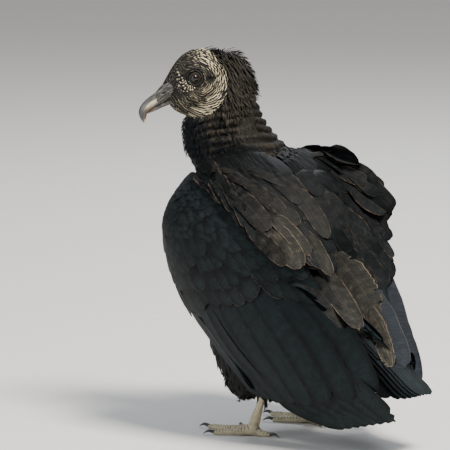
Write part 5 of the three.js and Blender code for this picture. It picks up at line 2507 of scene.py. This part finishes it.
def fill_fan(
    coat: Coat,
    net: Net,
    length: float,
    half: float,
    spacing: float,
    lift: tuple[float, float],
    shape: FeatherShape,
    weather: float,
    short: float = 0.0,
) -> None:
    """Covers a fan with overlapping feathers, row over row.

    Args:
        coat: the coat that takes them.
        net: the fan's surface.
        length: a feather's length in millimetres.
        half: its half width in millimetres.
        spacing: from one row's roots to the next, in millimetres.
        lift: height at root and tip.
        shape: the kind of feather.
        weather: how worn they are.
        short: how far the longest end before the fan's edge, in millimetres.
    """
    draw = coat.rng
    u_grid = np.linspace(0.0, 1.0, FAN_STEPS)
    spans = np.linalg.norm(net.at(u_grid, 1.0 + 0 * u_grid) - net.at(u_grid, 0 * u_grid), axis=1)
    longest = spans.max()
    from_tip, number = short, 0
    while from_tip < longest - 0.3 * length:
        v_mid = max(1.0 - (from_tip + 0.5 * length) / longest, 0.0)
        across = net.at(u_grid, v_mid + 0 * u_grid)
        width = np.linalg.norm(np.diff(across, axis=0), axis=1).sum()
        count = max(int(width / (FAN_OVERLAP * half)), 3)
        u = (np.arange(count + 1) + 0.5 * (number % 2)) / count + draw.normal(0, 0.12 / count, count + 1)
        u = np.clip(u[u < 1.03], 0.0, 1.0)
        span = np.interp(u, u_grid, spans)
        tip_v = 1.0 - (from_tip + draw.normal(0, 2.5, len(u))) / span
        root_v = tip_v - length * draw.uniform(0.85, 1.15, len(u)) / span
        fits = tip_v > 0.25 * length / span
        starts = np.stack([u, np.maximum(root_v, -0.02)], axis=1)[fits]
        tip_u = np.clip(u + draw.normal(0, 0.02, len(u)), 0, 1)
        ends = np.stack([tip_u, np.minimum(tip_v, 1.02)], axis=1)[fits]
        high = min(from_tip / longest, 1.0)
        # towards the fan's upper rows the feathers are less worn and carry painted shade, 0.6 * high below
        worn = np.clip(weather + draw.normal(0, 0.18, len(starts)), 0.0, 1.0) * (1 - 0.9 * high)
        if len(starts):
            net_feathers(coat, net, starts, ends, np.full(len(starts), half), shape, lift, worn, 0.6 * high)
        from_tip += spacing
        number += 1


@dataclass
class Shoulders:
    """Scapulars and tertials: fans of longer, browner feathers over the folded wings."""

    field: SkinField
    bridge_count: int = 24
    # Each row starts so far behind the fan's edge, ends so far ahead of it, and has a half width and a lift.
    bridges: tuple[tuple[float, float, float, float], ...] = (
        (6.0, 52.0, 7.0, 1.2),
        (9.0, 38.0, 6.0, 1.6),
        (12.0, 24.0, 5.0, 2.0),
        (16.0, 10.0, 4.0, 2.2),
    )

    def build(self) -> None:
        """Makes the fans of both sides."""
        for word, side in SIDES:
            scapulars = Coat(f"shoulder_{word}", Seed.SCAPULARS + len(word))
            scapulars.line([f"scapulars_{word}"], weather=0.4)
            net = fan_net(SCAPULAR_FANS[word], side, 0.06)
            fill_fan(scapulars, net, 62.0, 13.0, 21.0, (-1.6, 0.4), LONG_COVERT, 0.25, 3.0)
            self._bridge(scapulars, net)
            scapulars.build(DARK_SCAPULAR_FINISH, "weathered", [f"scapulars_{word}"])
            tertials = Coat(f"long_tertials_{word}", Seed.TERTIALS + len(word))
            tertials.line([f"tertials_{word}"], weather=0.3)
            net = fan_net(TERTIAL_FANS[word], side, 0.02)
            count = 2 * len(TERTIAL_FANS[word])
            u = np.linspace(0.0, 1.0, count)
            starts = np.stack([u, 0.0 * u], axis=1)
            ends = np.stack([u, 1.0 - 0.08 * (np.arange(count) % 2)], axis=1)
            net_feathers(tertials, net, starts, ends, np.full(count, 9.5), QUILL, (-0.6, 0.8), 0.3)
            tertials.build(FLIGHT_FINISH, "flight", [f"tertials_{word}"])

    def _bridge(self, coat: Coat, net: Net) -> None:
        """Lays feathers from the skin over a fan's upper edge, so that no step shows there.

        Args:
            coat: the coat that takes them.
            net: the fan's surface.
        """
        share = Vane.SLIM.value.rests()
        draw = coat.rng
        for number, (behind, ahead, half, lift) in enumerate(self.bridges):
            u = (np.arange(self.bridge_count) + 0.5 * (number % 2)) / self.bridge_count
            u = np.clip(u + draw.normal(0.0, 0.012, len(u)), 0.0, 1.0)
            starts = behind * draw.uniform(0.6, 1.3, len(u))
            ends = ahead + draw.normal(0.0, 7.0, len(u))
            root = net.at(u, 0.0 * u)
            down = unit(net.at(u, 0.0 * u + 0.2) - root)
            span = np.linalg.norm(net.at(u, 0.0 * u + 1.0) - root, axis=1)
            reach = -starts[:, None] + share[None] * (starts + ends)[:, None]
            straight = root[:, None] + down[:, None] * reach[..., None]
            on_skin, skin_normal = self.field.snap(BIRD.world(straight).reshape(-1, 3))
            place = np.clip(reach / span[:, None], 0.0, 1.0)
            columns = np.broadcast_to(u[:, None], place.shape)
            on_net = BIRD.world(net.at(columns, place))
            net_normal = net.normal(columns, place)
            blend = ease(reach, -12.0, 6.0)[..., None]
            line = (1 - blend) * on_skin.reshape(on_net.shape) + blend * on_net
            normal = unit((1 - blend) * skin_normal.reshape(on_net.shape) + blend * net_normal)
            raised = lift * MM * (0.3 + 0.7 * share[None, :, None])
            line = line + normal * raised * np.where(blend > 0.5, 1.0, 1.3)
            weather = np.clip(0.12 + draw.normal(0, 0.1, len(u)), 0, 1)
            half_width = half * MM * draw.uniform(0.7, 1.2, len(u))
            # painted shade of 0.7 darkens every bridging feather
            coat.grow(line, normal, half_width, Vane.SLIM.value, weather, 0.7)


# ---------------------------------------------------------------- single feathers
@dataclass(frozen=True)
class SeenFeather:
    """One feather: its root, tip and width on the picture plane, and how high it lies over the others."""

    root: tuple[float, float]
    tip: tuple[float, float]
    width: float
    lift: float
    weather: float = 0.35
    bend: float = 0.0
    vane: Vane = Vane.ROUND


# Pixels of the picture plane, from the lowest feather to the topmost of each group.
FAR_EDGE = (
    SeenFeather((382, 266), (419, 384), 24, 0.5, 0.65, 3),
)
INNER_EDGE = (
    SeenFeather((378, 280), (409, 373), 26, 3.0, 0.45, 2),
    SeenFeather((366, 280), (399, 368), 22, 6.0, 0.2, 1),
)
NEAR_EDGE = (
    SeenFeather((372, 288), (405, 367), 27, 0.2, 0.5, 2),
)
TATTERED_EDGE = (
    SeenFeather((366, 300), (391.5, 367), 17, 1.0, 0.75, -1, Vane.TATTERED),
    SeenFeather((350, 284), (379, 336), 26, 2.0, 0.6, -2, Vane.TATTERED),
    SeenFeather((334, 252), (374, 311.5), 31, 3.2, 0.5, -2, Vane.TATTERED),
    SeenFeather((284, 250), (345, 330), 22, 3.4, 0.1, -3),
    SeenFeather((304, 250), (358.5, 331), 27, 4.2, 0.45, -2),
)
LEFT_SHOULDER = (
    SeenFeather((246, 228), (286, 266), 15, 3.4, 0.3, -2),
    SeenFeather((264, 220), (300, 269.4), 24, 4.2, 0.6, -2),
    SeenFeather((303, 228), (329.6, 277), 17, 4.6, 0.45, -1),
    SeenFeather((264, 210), (309, 256.7), 18, 5.0, 0.5, -2),
    SeenFeather((230, 190), (268, 232), 22, 4.8, 0.2, -2),
    SeenFeather((262, 192), (296, 228), 21, 5.2, 0.25, -2),
    SeenFeather((282, 180), (327, 240), 20, 5.8, 0.22, -4),
    SeenFeather((242, 184), (284, 216), 18, 5.8, 0.2, -2),
    SeenFeather((212, 186), (236, 213), 7, 4.6, 0.15, -1, Vane.SLIM),
    SeenFeather((205, 178), (239, 198), 8, 5.4, 0.2, -1, Vane.SLIM),
    SeenFeather((236, 176), (272, 205), 14, 6.2, 0.15, -1),
    SeenFeather((262, 172), (300, 206), 15, 6.4, 0.1, -2),
    SeenFeather((218, 172), (262, 194), 11, 6.6, 0.15, -1, Vane.SLIM),
    SeenFeather((238, 168), (288, 190), 11, 7.0, 0.1, -2, Vane.SLIM),
    SeenFeather((268, 172), (309, 199), 12, 7.2, 0.0, -2, Vane.SLIM),
    SeenFeather((203, 170), (244, 178), 7, 6.2, 0.2, -2, Vane.SLIM),
)
RIGHT_SHOULDER = (
    SeenFeather((360, 205), (384, 242.5), 22, 0.6, 0.25, 2),
    SeenFeather((352, 240), (385, 288), 30, 1.4, 0.15, 2),
    SeenFeather((356, 226), (394, 276), 30, 2.2, 0.15, 3),
    SeenFeather((334, 238), (372, 292), 28, 3.0, 0.2, 1),
    SeenFeather((322, 220), (352, 268), 26, 3.6, 0.1, 1),
    SeenFeather((308, 188), (338, 238), 26, 4.2, 0.1, 1),
    SeenFeather((345, 178), (385, 213), 32, 3.4, 0.35, 3),
    SeenFeather((333, 230), (364, 268), 22, 4.6, 0.1, 1),
    SeenFeather((328, 202), (370, 236), 26, 4.8, 0.35, 2),
    SeenFeather((335, 168), (366.6, 182), 15, 7.0, 0.6, 1),
    SeenFeather((322, 154), (359, 168), 19, 7.5, 0.7, 2),
    SeenFeather((316, 190), (345, 216), 22, 5.4, 0.25, 1),
    SeenFeather((308, 166), (338, 192), 22, 5.8, 0.1, 1),
    SeenFeather((314, 155), (337, 150.5), 6, 8.0, 0.6, 0, Vane.SLIM),
    SeenFeather((306, 158), (331, 154), 6, 9.0, 0.6, 0, Vane.SLIM),
    SeenFeather((294, 166), (322, 196), 20, 6.0, 0.15, 1),
)


@dataclass
class SeenFeathers:
    """Lays single feathers from the picture plane on to the plate behind them, where they rest on it."""

    sunk_root: float = 2.0  # millimetres that a root lies under the surface
    tucked: float = 2.7
    raised: float = 0.42
    slope: float = 0.45
    steepest: float = 0.7  # how fast a tip past its plate's edge may turn away, as a share of its length

    def build(self) -> None:
        """Makes the groups."""
        for name, group, carrier, finish in (
            ("far_edge_vanes", FAR_EDGE, "tertials_right", SLATE_AND_SHEEN_FINISH),
            ("inner_edge_vanes", INNER_EDGE, "wing_right_secondaries", SLATE_AND_SHEEN_FINISH),
            ("near_edge_vanes", NEAR_EDGE, "tertials_left", SLATE_AND_SHEEN_FINISH),
            ("tattered_vanes", TATTERED_EDGE, "tertials_left", SCAPULAR_FINISH),
            ("shoulder_vanes_left", LEFT_SHOULDER, "scapulars_left", SCAPULAR_FINISH),
            ("shoulder_vanes_right", RIGHT_SHOULDER, "scapulars_right", DARK_SCAPULAR_FINISH),
        ):
            coat = Coat(name, Seed.SINGLE + len(name))
            tree = tree_of(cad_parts[carrier].data)
            for feather in group:
                self._lay(coat, feather, tree)
            coat.build(finish, "weathered", [])

    def _lay(self, coat: Coat, feather: SeenFeather, tree: BVHTree) -> None:
        """Lays one feather.

        Args:
            coat: the coat that takes it.
            feather: the feather.
            tree: the plate's faces.
        """
        shape = feather.vane.value
        share = shape.rests()
        root, tip = np.array(feather.root, float), np.array(feather.tip, float)
        along = tip - root
        length = float(np.linalg.norm(along)) * VIEW.scale
        aside = np.array([-along[1], along[0]]) / np.linalg.norm(along)
        pixels = root + share[:, None] * along + aside * (feather.bend * np.sin(np.pi * share))[:, None]
        rays = np.array([VIEW.ray(pixel) for pixel in pixels])
        hits = [tree.ray_cast(Vector(VIEW.eye), Vector(ray)) for ray in rays]
        seen = np.array([hit[0] is not None for hit in hits])
        if seen.sum() < 3:
            LOG.warning("nothing carries the feather at %s", feather.root)
            return
        depth = np.array([hit[3] for hit in hits if hit[0] is not None])
        fit = np.poly1d(np.polyfit(share[seen], depth, 2 if seen.sum() > 7 else 1))
        inside = np.clip(share, share[seen][0], share[seen][-1])
        slope = np.clip(fit.deriv()(inside), -self.steepest * length, self.steepest * length)
        smooth = fit(inside) + slope * (share - inside)
        smooth -= min(max(float(np.max(fit(share[seen]) - depth)), 0.0), 4 * MM)
        facing = unit(np.mean([hit[1] for hit in hits if hit[0] is not None], axis=0))
        facing = facing * np.sign(facing @ VIEW.back)
        normal = unit(facing + 0.3 * VIEW.back)
        rise = (self.tucked + self.raised * feather.lift) * ease(share, 0.0, 0.3)
        height = rise + self.slope * share - self.sunk_root
        line = VIEW.eye + rays * smooth[:, None] + MM * height[:, None] * normal
        half = 0.5 * feather.width * VIEW.scale
        facing_all = np.broadcast_to(normal, (1, *line.shape))
        coat.grow(line[None], facing_all, np.array([half]), shape, feather.weather)


# ---------------------------------------------------------------- stage
@dataclass(frozen=True)
class Lamp:
    """A soft square light, hung from the aim along the picture's own directions, in metres and watts."""

    name: str
    right: float
    up: float
    back: float
    size: float
    power: float
    colour: Colour


@dataclass
class Stage:
    """The plain floor, the studio light and the camera."""

    floor_side: float = 24.0
    floor_colour: Colour = (0.8, 0.78, 0.75)
    floor_grain: Colour = (0.5, 0.48, 0.46)
    world_colour: Colour = (0.78, 0.8, 0.84)
    world_strength: float = 0.4
    sensor: float = 36.0
    target: Place = (0.0, 0.0, 230.0)  # what the lamps face, in the bird's millimetres
    lamps: tuple[Lamp, ...] = (
        Lamp("key", 1.1, 2.4, 1.5, 0.9, 185.0, (1.0, 0.95, 0.87)),
        Lamp("fill", -2.2, 0.7, 1.6, 1.8, 30.0, (0.82, 0.92, 1.0)),
        Lamp("rim", 0.6, 2.0, -1.8, 1.2, 34.0, (0.88, 0.93, 1.0)),
    )

    def build(self) -> None:
        """Makes floor, world, lights and camera."""
        self._floor()
        self._world()
        for lamp in self.lamps:
            self._light(lamp)
        self._camera()

    def _floor(self) -> None:
        """Makes the floor."""
        deselect_all()
        bpy.ops.mesh.primitive_plane_add(size=self.floor_side)
        floor = bpy.context.object
        floor.name = "floor"
        paint = Paint("floor_paint")
        grain = paint.noise(paint.object_place(), 90.0)
        shade = paint.mix(paint.step(grain, 0.3, 0.7, 0.0, 0.08), self.floor_colour, self.floor_grain)
        floor.data.materials.append(paint.shade(base_color=shade, roughness=0.9))

    def _world(self) -> None:
        """Makes the even light all round."""
        world = bpy.data.worlds.new("studio")
        world.use_nodes = True
        sheet = Sheet(world.node_tree)
        world.node_tree.nodes.clear()
        inputs = {"Color": self.world_colour, "Strength": self.world_strength}
        light = sheet.add("ShaderNodeBackground", inputs)
        sheet.add("ShaderNodeOutputWorld", {"Surface": light.outputs[0]})
        bpy.context.scene.world = world

    def _light(self, lamp: Lamp) -> None:
        """Adds a lamp that faces the bird.

        Args:
            lamp: the lamp.
        """
        place = VIEW.aim + lamp.right * VIEW.right + lamp.up * VIEW.up + lamp.back * VIEW.back
        deselect_all()
        bpy.ops.object.light_add(type="AREA", location=tuple(place))
        light = bpy.context.object
        light.name = lamp.name
        light.data.size = lamp.size
        light.data.energy = lamp.power
        light.data.color = lamp.colour
        towards = Vector(BIRD.world(np.array(self.target))) - Vector(place)
        light.rotation_euler = towards.to_track_quat("-Z", "Y").to_euler()

    def _camera(self) -> None:
        """Adds the camera."""
        deselect_all()
        bpy.ops.object.camera_add()
        camera = bpy.context.object
        camera.data.sensor_width = self.sensor
        camera.data.lens = self.sensor * VIEW.distance / (VIEW.picture * VIEW.scale)
        camera.data.clip_start = 0.1
        camera.data.clip_end = 60.0
        turn = Matrix.Identity(4)
        for column, axis in enumerate((VIEW.right, VIEW.up, VIEW.back)):
            for row in range(3):
                turn[row][column] = axis[row]
        turn.translation = Vector(VIEW.eye)
        camera.matrix_world = turn
        bpy.context.scene.camera = camera


def plain_cad(finish: bpy.types.Material) -> None:
    """Gives a material to each CAD node that is still shown.

    Args:
        finish: the material.
    """
    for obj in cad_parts.values():
        obj.data.materials.clear()
        obj.data.materials.append(finish)


def main() -> None:
    """Builds the whole model in order."""
    logging.basicConfig(level=logging.INFO, format="%(name)s: %(message)s", stream=sys.stdout)
    plain_cad(HIDDEN_FINISH.material())
    skin = Skin().build()
    field = SkinField(skin)
    BodyCoat(field).build()
    Wings().build()
    Tail().build()
    Shoulders(field).build()
    SeenFeathers().build()
    Eyes().build()
    Bill().build()
    Claws().build()
    Stage().build()


if __name__ == "__main__":
    main()
